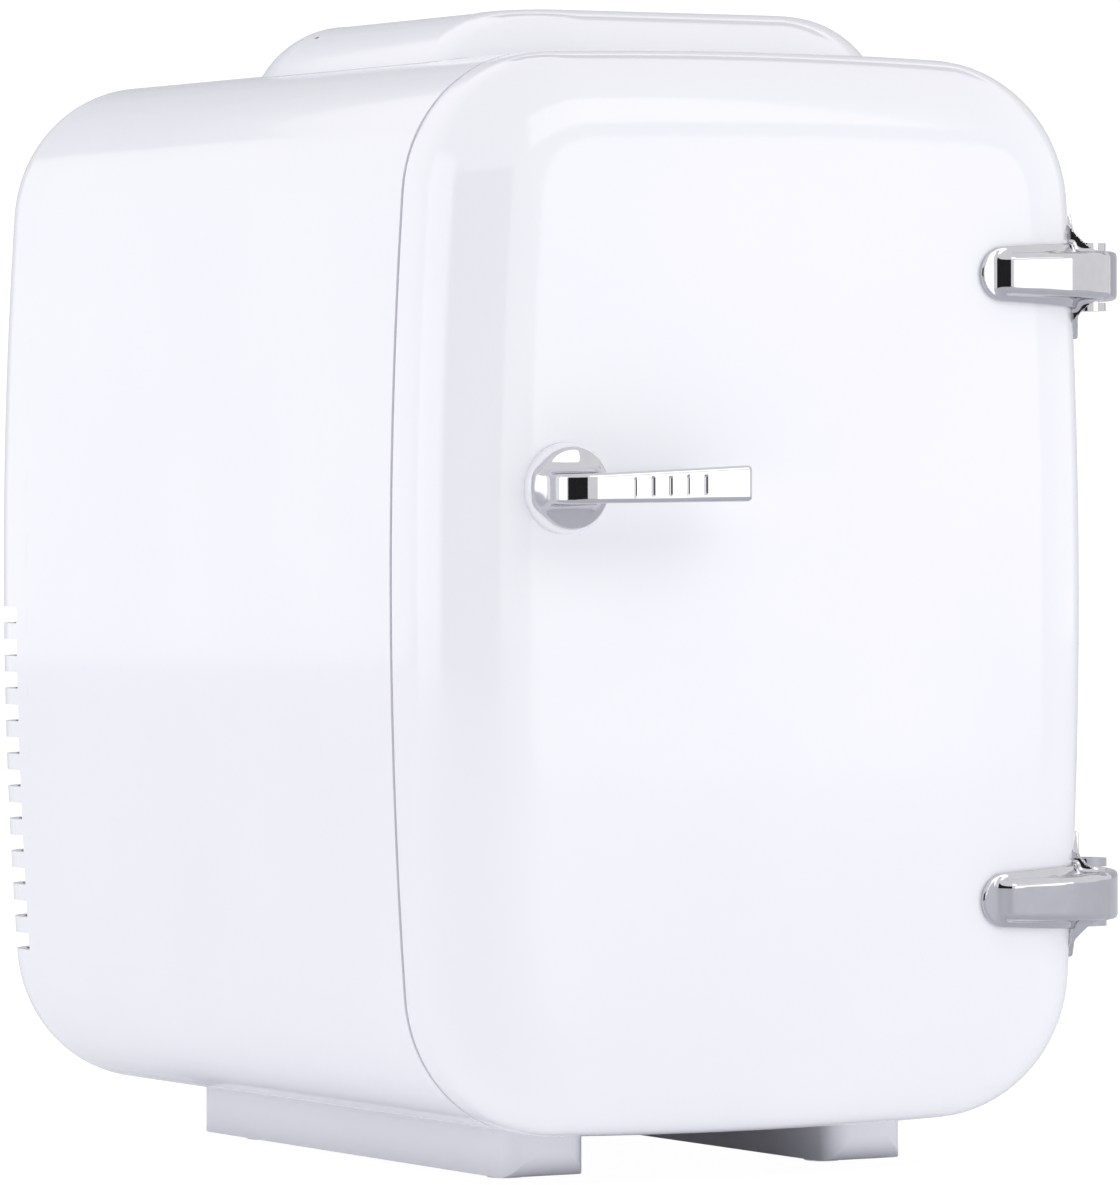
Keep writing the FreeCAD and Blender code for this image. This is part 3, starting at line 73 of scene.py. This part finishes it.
def noise(material, scale, detail=2.0, stretch=(1, 1, 1)):
    """A noise texture in object coordinates, in features per metre."""
    nodes = material.node_tree.nodes
    links = material.node_tree.links
    place = nodes.new("ShaderNodeTexCoord")
    mapping = nodes.new("ShaderNodeMapping")
    mapping.inputs["Scale"].default_value = stretch
    texture = nodes.new("ShaderNodeTexNoise")
    texture.inputs["Scale"].default_value = scale
    texture.inputs["Detail"].default_value = detail
    links.new(place.outputs["Object"], mapping.inputs["Vector"])
    links.new(mapping.outputs["Vector"], texture.inputs["Vector"])
    return texture


def spread(material, source, low, high):
    """A texture's 0-1 range mapped to a low and a high value."""
    ranged = material.node_tree.nodes.new("ShaderNodeMapRange")
    ranged.inputs["From Min"].default_value = 0.3
    ranged.inputs["From Max"].default_value = 0.7
    ranged.inputs["To Min"].default_value = low
    ranged.inputs["To Max"].default_value = high
    material.node_tree.links.new(source.outputs[0], ranged.inputs["Value"])
    return ranged.outputs["Result"]


def tint(material, principled, source, first, second):
    """Base colour that drifts between two colours with a texture."""
    ramp = material.node_tree.nodes.new("ShaderNodeValToRGB")
    ramp.color_ramp.elements[0].position = 0.3
    ramp.color_ramp.elements[1].position = 0.7
    ramp.color_ramp.elements[0].color = (*first, 1)
    ramp.color_ramp.elements[1].color = (*second, 1)
    material.node_tree.links.new(source.outputs[0], ramp.inputs["Fac"])
    material.node_tree.links.new(ramp.outputs["Color"], principled.inputs["Base Color"])


def relief(material, principled, source, depth_mm, strength=1.0):
    """A bump of a few hundredths of a millimetre from a texture."""
    bump = material.node_tree.nodes.new("ShaderNodeBump")
    bump.inputs["Strength"].default_value = strength
    bump.inputs["Distance"].default_value = depth_mm * MM
    material.node_tree.links.new(source.outputs[0], bump.inputs["Height"])
    material.node_tree.links.new(bump.outputs["Normal"], principled.inputs["Normal"])


def moulded(name, first, second, rough, grain=900, depth=0.01, coat=0.0, patch=14):
    """Moulded plastic: a slow drift of colour, a fine skin and an uneven gloss."""
    material, principled = shader(name, first, rough[0], coat=coat)
    drift = noise(material, patch)
    tint(material, principled, drift, first, second)
    skin = noise(material, grain, 3)
    links = material.node_tree.links
    links.new(spread(material, skin, *rough), principled.inputs["Roughness"])
    relief(material, principled, skin, depth)
    return material


def metal(name, first, second, rough, grain=600, depth=0.004, stretch=(1, 1, 1)):
    """Metal with a slightly uneven polish, brushed where the noise is stretched."""
    material, principled = shader(name, first, rough[0], metallic=1)
    polish = noise(material, grain, 3, stretch)
    tint(material, principled, polish, first, second)
    material.node_tree.links.new(spread(material, polish, *rough), principled.inputs["Roughness"])
    relief(material, principled, polish, depth)
    return material


MATERIALS = {
    "white_shell": moulded(
        "gloss_white_plastic", (0.84, 0.84, 0.9), (0.86, 0.86, 0.915), (0.1, 0.16), coat=0.4),
    "white_lining": moulded(
        "satin_white_lining", (0.8, 0.81, 0.83), (0.83, 0.84, 0.86), (0.34, 0.46), 1400, 0.02),
    "foam": moulded(
        "polyurethane_foam", (0.78, 0.7, 0.5), (0.85, 0.78, 0.58), (0.85, 0.95), 700, 0.3),
    "chrome_trim": metal(
        "chrome_plating", (0.62, 0.62, 0.65), (0.65, 0.65, 0.68), (0.03, 0.06), 300, 0.0006),
    "steel": metal(
        "zinc_plated_steel", (0.6, 0.61, 0.63), (0.68, 0.69, 0.7), (0.22, 0.34), 800, 0.004),
    "contact_metal": metal(
        "nickel_contacts", (0.7, 0.66, 0.55), (0.78, 0.74, 0.62), (0.16, 0.26)),
    "magnet": metal(
        "sintered_magnet", (0.2, 0.2, 0.21), (0.28, 0.28, 0.29), (0.4, 0.55), 1500, 0.02),
    "foot_rubber": moulded(
        "grey_foot_rubber", (0.42, 0.42, 0.45), (0.48, 0.48, 0.51), (0.55, 0.7), 1600, 0.03),
    "seal_rubber": moulded(
        "pale_door_seal", (0.66, 0.66, 0.68), (0.72, 0.72, 0.74), (0.45, 0.6), 1200, 0.02),
    "sink_aluminium": metal(
        "extruded_aluminium", (0.75, 0.76, 0.78), (0.84, 0.85, 0.86), (0.24, 0.38), 500, 0.006,
        (1, 1, 12)),
    "module_ceramic": moulded(
        "alumina_ceramic", (0.85, 0.84, 0.8), (0.9, 0.89, 0.86), (0.5, 0.65), 1800, 0.01),
    "black_plastic": moulded(
        "black_plastic", (0.016, 0.016, 0.018), (0.024, 0.024, 0.027), (0.32, 0.48), 1300, 0.02),
    "board_laminate": moulded(
        "green_circuit_board", (0.02, 0.14, 0.06), (0.03, 0.2, 0.08), (0.3, 0.45), 1000, 0.01),
    "standoff_nylon": moulded(
        "nylon_standoff", (0.72, 0.72, 0.68), (0.78, 0.78, 0.74), (0.4, 0.5), 1200, 0.01),
    "wire_sleeve": moulded(
        "wire_sleeve", (0.4, 0.02, 0.02), (0.5, 0.03, 0.03), (0.4, 0.5), 1200, 0.01),
    "indicator": moulded(
        "indicator_lens", (0.1, 0.5, 0.16), (0.14, 0.6, 0.2), (0.1, 0.16), 900, 0.004, coat=0.4),
}

# The material slot of every CAD node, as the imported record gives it.
SLOT_OF = {part["node"]: part["material_slot"] for part in frame["record"]["subparts"]}


def dress_cad_nodes():
    """Give every CAD node the material of its slot."""
    for node, thing in frame["nodes"].items():
        material = MATERIALS[SLOT_OF[node]]
        for place in thing.material_slots:
            place.material = material
        if not thing.material_slots:
            thing.data.materials.append(material)


dress_cad_nodes()

# ---------------------------------------------------------------- sizes

# The outline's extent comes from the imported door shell. Its bows, corners and wall repeat the CAD's.
LOW, HIGH = [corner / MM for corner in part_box("door_shell")]
CENTRE_X = (LOW.x + HIGH.x) / 2
CENTRE_Z = (LOW.z + HIGH.z) / 2
HALF_WIDTH = (HIGH.x - LOW.x) / 2
HALF_HEIGHT = (HIGH.z - LOW.z) / 2
DOOR_FRONT = LOW.y
DOOR_BACK = HIGH.y
SIDE_BOW = 1338.0
END_BOW = 1600.0
CORNER = 37.3
WALL = 2.5
DOOR_ROUND = 24.0
SEAM_ROUND = 0.5


def node_box(node):
    """A CAD node's lowest and highest corners in millimetres."""
    return [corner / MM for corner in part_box(node)]


# ---------------------------------------------------------------- mesh helpers


def finished(name, mesh, node, body, material_slot, sharp_angle=None):
    """Turn a mesh into a piece that replaces a CAD node, rides its body and wears a slot's material."""
    mesh.materials.append(MATERIALS[material_slot])
    for face in mesh.polygons:
        face.use_smooth = True
    if sharp_angle:
        mesh.set_sharp_from_angle(angle=math.radians(sharp_angle))
    thing = bpy.data.objects.new(name, mesh)
    bpy.context.collection.objects.link(thing)
    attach(thing, body)
    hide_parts(node)
    return thing


def outline(inset, y, corner_steps=18, side_steps=14):
    """The fridge's outline at one depth, moved inwards: four bowed sides and four tangent corners."""
    side_centre = SIDE_BOW - HALF_WIDTH
    end_centre = END_BOW - HALF_HEIGHT
    reach_side = SIDE_BOW - CORNER
    reach_end = END_BOW - CORNER
    apart = math.hypot(side_centre, end_centre)
    share = (reach_side ** 2 - reach_end ** 2 + apart ** 2) / (2 * apart)
    rise = math.sqrt(reach_side ** 2 - share ** 2)
    toward_x = side_centre / apart
    toward_z = -end_centre / apart
    corner_x = -side_centre + share * toward_x - rise * toward_z
    corner_z = share * toward_z + rise * toward_x
    side_angle = math.atan2(corner_z, corner_x + side_centre)
    end_angle = math.atan2(corner_z + end_centre, corner_x)
    turn = math.pi
    arcs = (
        (-side_centre, 0, SIDE_BOW, -side_angle, side_angle, side_steps),
        (corner_x, corner_z, CORNER, side_angle, end_angle, corner_steps),
        (0, -end_centre, END_BOW, end_angle, turn - end_angle, side_steps),
        (-corner_x, corner_z, CORNER, turn - end_angle, turn - side_angle, corner_steps),
        (side_centre, 0, SIDE_BOW, turn - side_angle, turn + side_angle, side_steps),
        (-corner_x, -corner_z, CORNER, turn + side_angle, turn + end_angle, corner_steps),
        (0, end_centre, END_BOW, turn + end_angle, 2 * turn - end_angle, side_steps),
        (corner_x, -corner_z, CORNER, 2 * turn - end_angle, 2 * turn - side_angle, corner_steps),
    )
    points = []
    for x, z, radius, start, end, steps in arcs:
        for step in range(steps):
            angle = start + (end - start) * step / steps
            size = radius - inset
            across = size * math.cos(angle)
            up = size * math.sin(angle)
            points.append((CENTRE_X + x + across, y, CENTRE_Z + z + up))
    return points


def softened(corners, steps=5, closed=True):
    """A path (u, v, radius) with each corner that has a radius turned into an arc."""
    path = []
    count = len(corners)
    for i, (u, v, radius) in enumerate(corners):
        here = Vector((u, v))
        if not radius or (not closed and i in (0, count - 1)):
            path.append((u, v))
            continue
        before = (Vector(corners[i - 1][:2]) - here).normalized()
        after = (Vector(corners[(i + 1) % count][:2]) - here).normalized()
        half = before.angle(after) / 2
        centre = here + (before + after).normalized() * (radius / math.sin(half))
        first = here + before * (radius / math.tan(half)) - centre
        sweep = math.pi - 2 * half
        way = 1 if first.x * (-before.y) - first.y * (-before.x) > 0 else -1
        for step in range(steps + 1):
            angle = way * sweep * step / steps
            turned = Vector((
                first.x * math.cos(angle) - first.y * math.sin(angle),
                first.x * math.sin(angle) + first.y * math.cos(angle),
            ))
            path.append(tuple(centre + turned))
    return path


def loft(name, rings, wrap=False, caps=True):
    """A mesh through rings of equally many points: closed end to end, or with a fan at each end."""
    made = bmesh.new()
    rows = [[made.verts.new(Vector(point) * MM) for point in ring] for ring in rings]
    pairs = list(zip(rows, rows[1:])) + ([(rows[-1], rows[0])] if wrap else [])
    for first, second in pairs:
        for i in range(len(first)):
            j = (i + 1) % len(first)
            made.faces.new((first[i], first[j], second[j], second[i]))
    if caps and not wrap:
        for row in (rows[0], rows[-1]):
            middle = made.verts.new(sum((vert.co for vert in row), Vector()) / len(row))
            for i in range(len(row)):
                made.faces.new((row[i], row[(i + 1) % len(row)], middle))
    bmesh.ops.recalc_face_normals(made, faces=made.faces)
    mesh = bpy.data.meshes.new(name)
    made.to_mesh(mesh)
    made.free()
    return mesh


def lathe(name, centre, profile, steps=64, upright=False):
    """A closed profile of (radius, place) turned about a Y line at (x, z), or an upright at (x, y)."""
    rings = []
    for step in range(steps):
        angle = 2 * math.pi * step / steps
        ring = []
        for radius, place in profile:
            first = centre[0] + radius * math.cos(angle)
            second = centre[1] + radius * math.sin(angle)
            ring.append((first, second, place) if upright else (first, place, second))
        rings.append(ring)
    return loft(name, rings, wrap=True)


def sculpt(name, distance, low, high, cell):
    """The zero surface of a signed distance function of x, y, z arrays, as quads with corners on it."""
    probe = 0.02
    pulls = 8
    least_slope = 0.2
    axes = [np.arange(start, end + cell, cell) for start, end in zip(low, high)]
    inside = distance(*np.meshgrid(*axes, indexing="ij")) < 0
    corners = [
        inside[i:inside.shape[0] - 1 + i, j:inside.shape[1] - 1 + j, k:inside.shape[2] - 1 + k]
        for i in (0, 1) for j in (0, 1) for k in (0, 1)
    ]
    mixed = np.any(corners, axis=0) & ~np.all(corners, axis=0)
    index = np.full(mixed.shape, -1)
    index[mixed] = np.arange(mixed.sum())
    cells = np.argwhere(mixed)
    points = np.stack([axes[i][cells[:, i]] + cell / 2 for i in range(3)], axis=1)
    normals = np.zeros_like(points)
    for _ in range(pulls):
        value = distance(*points.T)
        for axis in range(3):
            step = np.zeros(3)
            step[axis] = probe
            ahead = distance(*(points + step).T)
            behind = distance(*(points - step).T)
            normals[:, axis] = (ahead - behind) / (2 * probe)
        slope = np.maximum(np.linalg.norm(normals, axis=1), least_slope)
        normals /= slope[:, None]
        points -= normals * np.clip(value / slope, -cell / 2, cell / 2)[:, None]
    faces = []
    for axis in range(3):
        moved = np.moveaxis(inside, axis, 0)
        owner = np.moveaxis(index, axis, 0)
        change = moved[1:, 1:-1, 1:-1] != moved[:-1, 1:-1, 1:-1]
        i, j, k = (np.argwhere(change) + (0, 1, 1)).T
        around = [owner[i, j - 1, k - 1], owner[i, j, k - 1], owner[i, j, k], owner[i, j - 1, k]]
        rings = np.stack(around, axis=1)
        turned = moved[i, j, k] == (axis == 1)
        rings[turned] = rings[turned][:, ::-1]
        faces += rings.tolist()
    mesh = bpy.data.meshes.new(name)
    mesh.from_pydata(points * MM, [], faces)
    mesh.update()
    for face in mesh.polygons:
        face.use_smooth = True
    mesh.normals_split_custom_set_from_vertices(normals)
    return mesh


# ---------------------------------------------------------------- distances, for sculpted pieces


def length(*parts):
    """Length of a vector given as arrays."""
    return np.sqrt(sum(part ** 2 for part in parts))


def corner_of(first, second, radius):
    """Distance to the rounded corner of two walls, from the distances to each."""
    inner = np.minimum(np.maximum(first + radius, second + radius), 0)
    return length(np.maximum(first + radius, 0), np.maximum(second + radius, 0)) + inner - radius


def blend_of(first, second, reach):
    """Union of two shapes with a concave fillet of about the given reach."""
    share = np.clip(0.5 + 0.5 * (second - first) / reach, 0, 1)
    return second + (first - second) * share - reach * share * (1 - share)


def slab(value, low, high):
    """Distance to the space between two parallel planes."""
    return np.maximum(low - value, value - high)


# ---------------------------------------------------------------- door

SWING = next(joint for joint in frame["record"]["behaviour"]["joints"] if joint["name"] == "door_swing")
HINGE_X, HINGE_Y = [number / MM for number in SWING["pos_m"][:2]]
KNUCKLE = 5.2
FLARE_TURN = math.radians(30.6)


def door_distance(x, y, z):
    """Distance to the door's outer surface near its right side."""
    bow = SIDE_BOW - np.sqrt(SIDE_BOW ** 2 - (z - CENTRE_Z) ** 2)
    return corner_of(x - CENTRE_X - HALF_WIDTH + bow, DOOR_FRONT - y, DOOR_ROUND)


def shrunk(inset, y):
    """The outline moved further in than its corners allow: the last exact ring, scaled to its middle."""
    exact = 30.0
    ring = outline(min(inset, exact), y)
    if inset <= exact:
        return ring
    across = (HALF_WIDTH - inset) / (HALF_WIDTH - exact)
    up = (HALF_HEIGHT - inset) / (HALF_HEIGHT - exact)
    return [(CENTRE_X + (x - CENTRE_X) * across, y, CENTRE_Z + (z - CENTRE_Z) * up) for x, y, z in ring]


def door_shell():
    """The door's outer moulding: a rounded edge, a faintly crowned front and a wall's thickness."""
    crown = 0.5
    crown_reach = 62.0
    crown_steps = 10
    turn_steps = 16
    rings = []
    for step in range(crown_steps):
        part = 1 - step / crown_steps
        inset = DOOR_ROUND + (crown_reach - DOOR_ROUND) * part
        rings.append(shrunk(inset, DOOR_FRONT + crown * (1 - part) ** 2))
    for step in range(turn_steps + 1):
        angle = math.pi / 2 * step / turn_steps
        depth = DOOR_FRONT + DOOR_ROUND * (1 - math.cos(angle)) + crown * math.cos(angle)
        rings.append(outline(DOOR_ROUND * (1 - math.sin(angle)), depth))
    inner_round = DOOR_ROUND - WALL
    inner_front = DOOR_FRONT + WALL + crown
    lip = DOOR_BACK - 2
    edge = ((0, lip, 0), (0, DOOR_BACK, SEAM_ROUND), (WALL, DOOR_BACK, SEAM_ROUND), (WALL, lip, 0))
    for inset, y in softened(edge):
        rings.append(outline(inset, y))
    for step in range(turn_steps, -1, -1):
        angle = math.pi / 2 * step / turn_steps
        inset = WALL + inner_round * (1 - math.sin(angle))
        rings.append(outline(inset, inner_front + inner_round * (1 - math.cos(angle))))
    rings.append(shrunk(crown_reach, inner_front))
    name = "door_shell_skin"
    return finished(name, loft(name, rings), "door_shell", "door", "white_shell")


def handle_collar():
    """White ring round the handle's disc, with a rounded outer edge."""
    low, high = node_box("handle_collar")
    centre = ((low.x + high.x) / 2, (low.z + high.z) / 2)
    radius = (high.x - low.x) / 2 - 0.5
    bore = radius - 2.1
    back = high.y + 0.8
    profile = softened((
        (radius, back, 0),
        (radius, low.y, 1.9),
        (bore, low.y, 0.6),
        (bore, back, 0),
    ), 8)
    mesh = lathe("handle_ring", centre, profile, 96)
    return finished("handle_ring", mesh, "handle_collar", "door", "white_shell", 50)


def door_handle():
    """Chrome disc, neck and lever in one flowing piece, with plain grip grooves across the lever."""
    low, high = node_box("door_handle")
    collar_low, collar_high = node_box("handle_collar")
    centre_x = (collar_low.x + collar_high.x) / 2
    centre_z = (collar_low.z + collar_high.z) / 2
    seat = collar_low.y
    front = low.y
    tip = high.x - centre_x
    disc = 10.0
    dome = 24.0
    dome_rise = 3.6
    thick = 4.8
    neck = 9.2
    neck_round = 8.0
    post_reach = 4.5
    half_at_disc = 3.65
    half_growth = 0.75
    tilt = math.tan(math.radians(1.4))
    grooves = 5
    groove_pitch = 4.9
    groove_first = 8.5
    groove_half = 2.0
    groove_radius = 0.42
    groove_lift = 0.12

    def distance(x, y, z):
        right = x - centre_x
        up = z - centre_z
        out = seat - y
        cap = length(right, up, out + dome - dome_rise) - dome
        plate = corner_of(length(right, up) - disc, cap, 0.9)
        plate = np.maximum(plate, -out)
        top = seat - front
        lever = corner_of(slab(right, 0, tip), slab(out, top - thick, top), 1.4)
        post = corner_of(-neck - right, out - top, neck_round)
        post = corner_of(post, right - post_reach, 2.5)
        profile = np.maximum(blend_of(lever, post, 3.0), out - top)
        half = half_at_disc + half_growth * np.clip(right / tip, 0, 1)
        rise = up - tilt * right
        bar = corner_of(profile, np.abs(rise) - half, 1.1)
        bar = np.maximum(bar, -out)
        whole = blend_of(plate, bar, 4.5)
        for groove in range(grooves):
            place = groove_first + groove_pitch * groove
            across = length(right - place, out - top - groove_lift)
            along = np.maximum(np.abs(rise) - groove_half, 0)
            whole = np.maximum(whole, groove_radius - length(across, along))
        return whole

    span_low = (centre_x - disc - 1, front - 1, centre_z - disc - 1)
    span_high = (high.x + 1, seat + 1, centre_z + disc + 1)
    mesh = sculpt("pull_handle", distance, span_low, span_high, 0.3)
    return finished("pull_handle", mesh, "door_handle", "door", "chrome_trim")


def hinge_strap(node):
    """Chrome strap: a thin rounded foot, a bar bent round the door's edge, flared wings, a knuckle."""
    low, high = node_box(node)
    height = (low.z + high.z) / 2
    start = low.x
    end = high.x
    foot = 6.8
    skin = 1.2
    foot_widens = 1.4
    foot_flares = 6.3
    bar_start = start + 5.3
    bar_front = low.y
    bar_half = 4.9
    bend = 29.0
    flare_low = 20.0
    flare_high = 30.0
    flare_half = 14.5
    knuckle_half = 6.2
    leaf_knuckle = 2.8
    room_around = 0.4
    pin_bore = 1.65
    round_x = CENTRE_X + HALF_WIDTH - DOOR_ROUND
    round_y = DOOR_FRONT + DOOR_ROUND
    flare_begins = math.radians(46)
    flare_spreads = math.radians(16)

    def distance(x, y, z):
        over = door_distance(x, y, z)
        rise = np.abs(z - height)
        widen = np.clip((x - start - foot) / 26, 0, 1)
        bent = np.arctan2(x - round_x, round_y - y)
        spread_out = np.clip((bent - flare_begins) / flare_spreads, 0, 1.1)
        foot_half = foot + foot_widens * widen + foot_flares * spread_out ** 2
        outline_2d = length(np.minimum(x - start - foot, 0), rise) - foot_half
        base = corner_of(over - skin, outline_2d, 0.6)
        plan = np.maximum(
            corner_of(bar_start - x, bar_front - y, 2.4),
            corner_of(x - end, bar_front - y, bend),
        )
        knuckle = length(x - HINGE_X, y - HINGE_Y) - KNUCKLE
        plan = np.minimum(np.maximum(plan, y - HINGE_Y), knuckle)
        half = bar_half + (knuckle_half - bar_half) * np.clip((x - bar_start) / 40, 0, 1)
        bar = corner_of(plan, rise - half, 1.7)
        along = (x - round_x) * math.cos(FLARE_TURN) - (y - round_y) * math.sin(FLARE_TURN)
        up = np.clip((flare_high - along) / (flare_high - flare_low), 0, 1)
        flank = knuckle_half - 0.6 + (flare_half - knuckle_half + 0.6) * up ** 1.6
        wing = corner_of(x - end + 0.2, bar_front + 0.5 - y, bend - 0.4)
        wing = corner_of(wing, rise - flank, 0.3)
        wing = np.maximum(wing, (flare_begins - bent) * DOOR_ROUND)
        wing = np.maximum(np.maximum(wing, flare_low - 4 - along), y - DOOR_BACK + 2)
        whole = blend_of(blend_of(bar, base, 2.6), wing, 1.2)
        whole = np.maximum(whole, np.maximum(x - end, bar_front - y))
        whole = np.maximum(whole, -over - 0.3)
        room = slab(rise, knuckle_half + 0.1, knuckle_half + leaf_knuckle)
        round_room = np.maximum(length(x - HINGE_X, y - HINGE_Y) - KNUCKLE - room_around, room)
        neck_room = np.maximum(np.maximum(HINGE_X - KNUCKLE - room_around - x, HINGE_Y - y), room)
        swing_room = np.maximum(np.maximum(HINGE_X - x, HINGE_Y - 10 - y), room)
        for hollow in (round_room, neck_room, swing_room):
            whole = np.maximum(whole, -hollow)
        return np.maximum(whole, pin_bore - length(x - HINGE_X, y - HINGE_Y))

    span_low = (start - 1, bar_front - 1, height - flare_half - 1.5)
    span_high = (end + 1, DOOR_BACK + 0.5, height + flare_half + 1.5)
    name = node + "_chrome"
    return finished(name, sculpt(name, distance, span_low, span_high, 0.4), node, "door", "chrome_trim")


door_shell()
handle_collar()
door_handle()
for strap in ("upper_hinge_strap", "lower_hinge_strap"):
    hinge_strap(strap)

# ---------------------------------------------------------------- cabinet


def foot_pads():
    """Four soft pads with a rounded rim and a slightly dished sole."""
    low, high = node_box("foot_pads")
    radius = 4.9
    bore = 0.4
    dish = 0.3
    profile = softened((
        (bore, low.z + dish, 0),
        (radius - 1.9, low.z, 0.4),
        (radius, low.z, 0.6),
        (radius, high.z, 0),
        (bore, high.z, 0),
    ), 5)
    made = bmesh.new()
    for x in (low.x + radius, high.x - radius):
        for y in (low.y + radius, high.y - radius):
            made.from_mesh(lathe("pad", (x, y), profile, 40, upright=True))
    mesh = bpy.data.meshes.new("rubber_pads")
    made.to_mesh(mesh)
    made.free()
    return finished("rubber_pads", mesh, "foot_pads", "cabinet", "foot_rubber", 50)


foot_pads()

# ---------------------------------------------------------------- stage, lights and camera


def floor():
    """A pale floor that curves up into a backdrop far behind the object."""
    mesh = bpy.data.meshes.new("floor")
    made = bmesh.new()
    wide = 9.0
    near = -5.0
    far = 4.0
    bend = 2.0
    steps = 16
    profile = [(near, 0.0), (far, 0.0)]
    for step in range(1, steps + 1):
        angle = math.pi / 2 * step / steps
        profile.append((far + bend * math.sin(angle), bend - bend * math.cos(angle)))
    profile.append((far + bend, 8.0))
    rows = [[made.verts.new((x, y, z)) for x in (-wide, wide)] for y, z in profile]
    for first, second in zip(rows, rows[1:]):
        made.faces.new((first[0], first[1], second[1], second[0]))
    made.to_mesh(mesh)
    made.free()
    for face in mesh.polygons:
        face.use_smooth = True
    thing = bpy.data.objects.new("floor", mesh)
    bpy.context.collection.objects.link(thing)
    own_light = 0.86
    material, principled = shader("pale_floor", (0.25, 0.25, 0.26), 0.9)
    principled.inputs["Specular IOR Level"].default_value = 0
    principled.inputs["Emission Color"].default_value = (1, 1, 1, 1)
    principled.inputs["Emission Strength"].default_value = own_light
    thing.data.materials.append(material)
    return thing


def card(name, corners, grey, seen_by=("diffuse", "glossy", "shadow")):
    """A matt card that the camera doesn't see: it only darkens reflections, shading or both."""
    made = bmesh.new()
    made.faces.new([made.verts.new(corner) for corner in corners])
    mesh = bpy.data.meshes.new(name)
    made.to_mesh(mesh)
    made.free()
    thing = bpy.data.objects.new(name, mesh)
    bpy.context.collection.objects.link(thing)
    material, principled = shader(name, (grey, grey, grey * 1.08), 0.9)
    thing.data.materials.append(material)
    thing.visible_camera = False
    thing.visible_diffuse = "diffuse" in seen_by
    thing.visible_glossy = "glossy" in seen_by
    thing.visible_shadow = "shadow" in seen_by
    return thing


def upright_card(name, heading, far, wide, tall, middle, grey, seen_by=("diffuse", "glossy", "shadow")):
    """A card that stands at a compass heading from the object (0 is +Y) and faces it."""
    turn = math.radians(heading)
    outward = Vector((math.sin(turn), math.cos(turn), 0))
    sideways = Vector((math.cos(turn), -math.sin(turn), 0))
    corners = []
    for across, up in ((-1, -1), (1, -1), (1, 1), (-1, 1)):
        height = Vector((0, 0, middle + tall / 2 * up))
        corners.append(outward * far + sideways * wide / 2 * across + height)
    return card(name, corners, grey, seen_by)


def floor_card(name, half_x, low_y, high_y, height, grey, seen_by):
    """A card that lies just above the floor."""
    around = ((-half_x, low_y), (half_x, low_y), (half_x, high_y), (-half_x, high_y))
    return card(name, [(x, y, height) for x, y in around], grey, seen_by)


def softbox(name, heading, far, rise, wide, tall, power, colour=(1, 1, 1)):
    """A softbox at a compass heading and an elevation in degrees, aimed at the object's middle."""
    turn = math.radians(heading)
    lift = math.radians(rise)
    aim = Vector((0, 0, CENTRE_Z * MM))
    away = Vector((math.sin(turn) * math.cos(lift), math.cos(turn) * math.cos(lift), math.sin(lift)))
    light = bpy.data.lights.new(name, "AREA")
    light.shape = "RECTANGLE"
    light.size = wide
    light.size_y = tall
    light.energy = power
    light.color = colour
    thing = bpy.data.objects.new(name, light)
    thing.location = aim + away * far
    thing.rotation_euler = (-away).to_track_quat("-Z", "Y").to_euler()
    bpy.context.collection.objects.link(thing)
    return thing


floor()
world = bpy.data.worlds.new("studio")
bpy.context.scene.world = world
world.use_nodes = True
world.node_tree.nodes["Background"].inputs["Color"].default_value = (1, 1, 1, 1)
world.node_tree.nodes["Background"].inputs["Strength"].default_value = 0.93

TARGET = Vector((-2.36, -0.63, 144.47)) * MM
DISTANCE = 2.071
AZIMUTH = math.radians(-29.36)
ELEVATION = math.radians(0.968)
ROLL = math.radians(-0.161)
LENS = 243.3


def camera():
    """The camera at the photograph's angle and distance."""
    data = bpy.data.cameras.new("camera")
    data.lens = LENS
    data.sensor_width = 36
    data.sensor_fit = "AUTO"
    away = Vector((
        math.sin(AZIMUTH) * math.cos(ELEVATION),
        -math.cos(AZIMUTH) * math.cos(ELEVATION),
        math.sin(ELEVATION),
    ))
    thing = bpy.data.objects.new("camera", data)
    thing.location = TARGET + away * DISTANCE
    level = (-away).to_track_quat("-Z", "Y")
    thing.rotation_euler = (level @ Quaternion((0, 0, 1), ROLL)).to_euler()
    bpy.context.collection.objects.link(thing)
    bpy.context.scene.camera = thing


camera()
upright_card("camera_side", 221, 2.6, 2.3, 1.6, 0.35, 0.005)
upright_card("behind_and_above", 40, 1.9, 1.5, 0.5, 1.95, 0.005)
upright_card("left_of_camera", 251, 2.6, 1.2, 1.6, 0.35, 0.005, ("glossy",))
upright_card("behind", 30, 1.6, 3.2, 1.4, 0.6, 0.5, ("glossy",))
floor_card("floor_reflection", 5.0, -5.0, 3.0, 0.0004, 0.62, ("glossy",))
floor_card("underneath", 0.075, -0.09, 0.11, 0.0003, 0.5, ("diffuse",))
softbox("front_right", 150, 2.6, 0.0, 1.2, 1.2, 4.0)
softbox("left_side", 285, 2.6, 12.0, 1.6, 1.6, 7, (0.93, 0.93, 1))
softbox("front_high", 165, 2.6, 40.0, 1.8, 1.2, 8)
bpy.context.scene.view_settings.view_transform = "Standard"
bpy.context.scene.view_settings.look = "None"
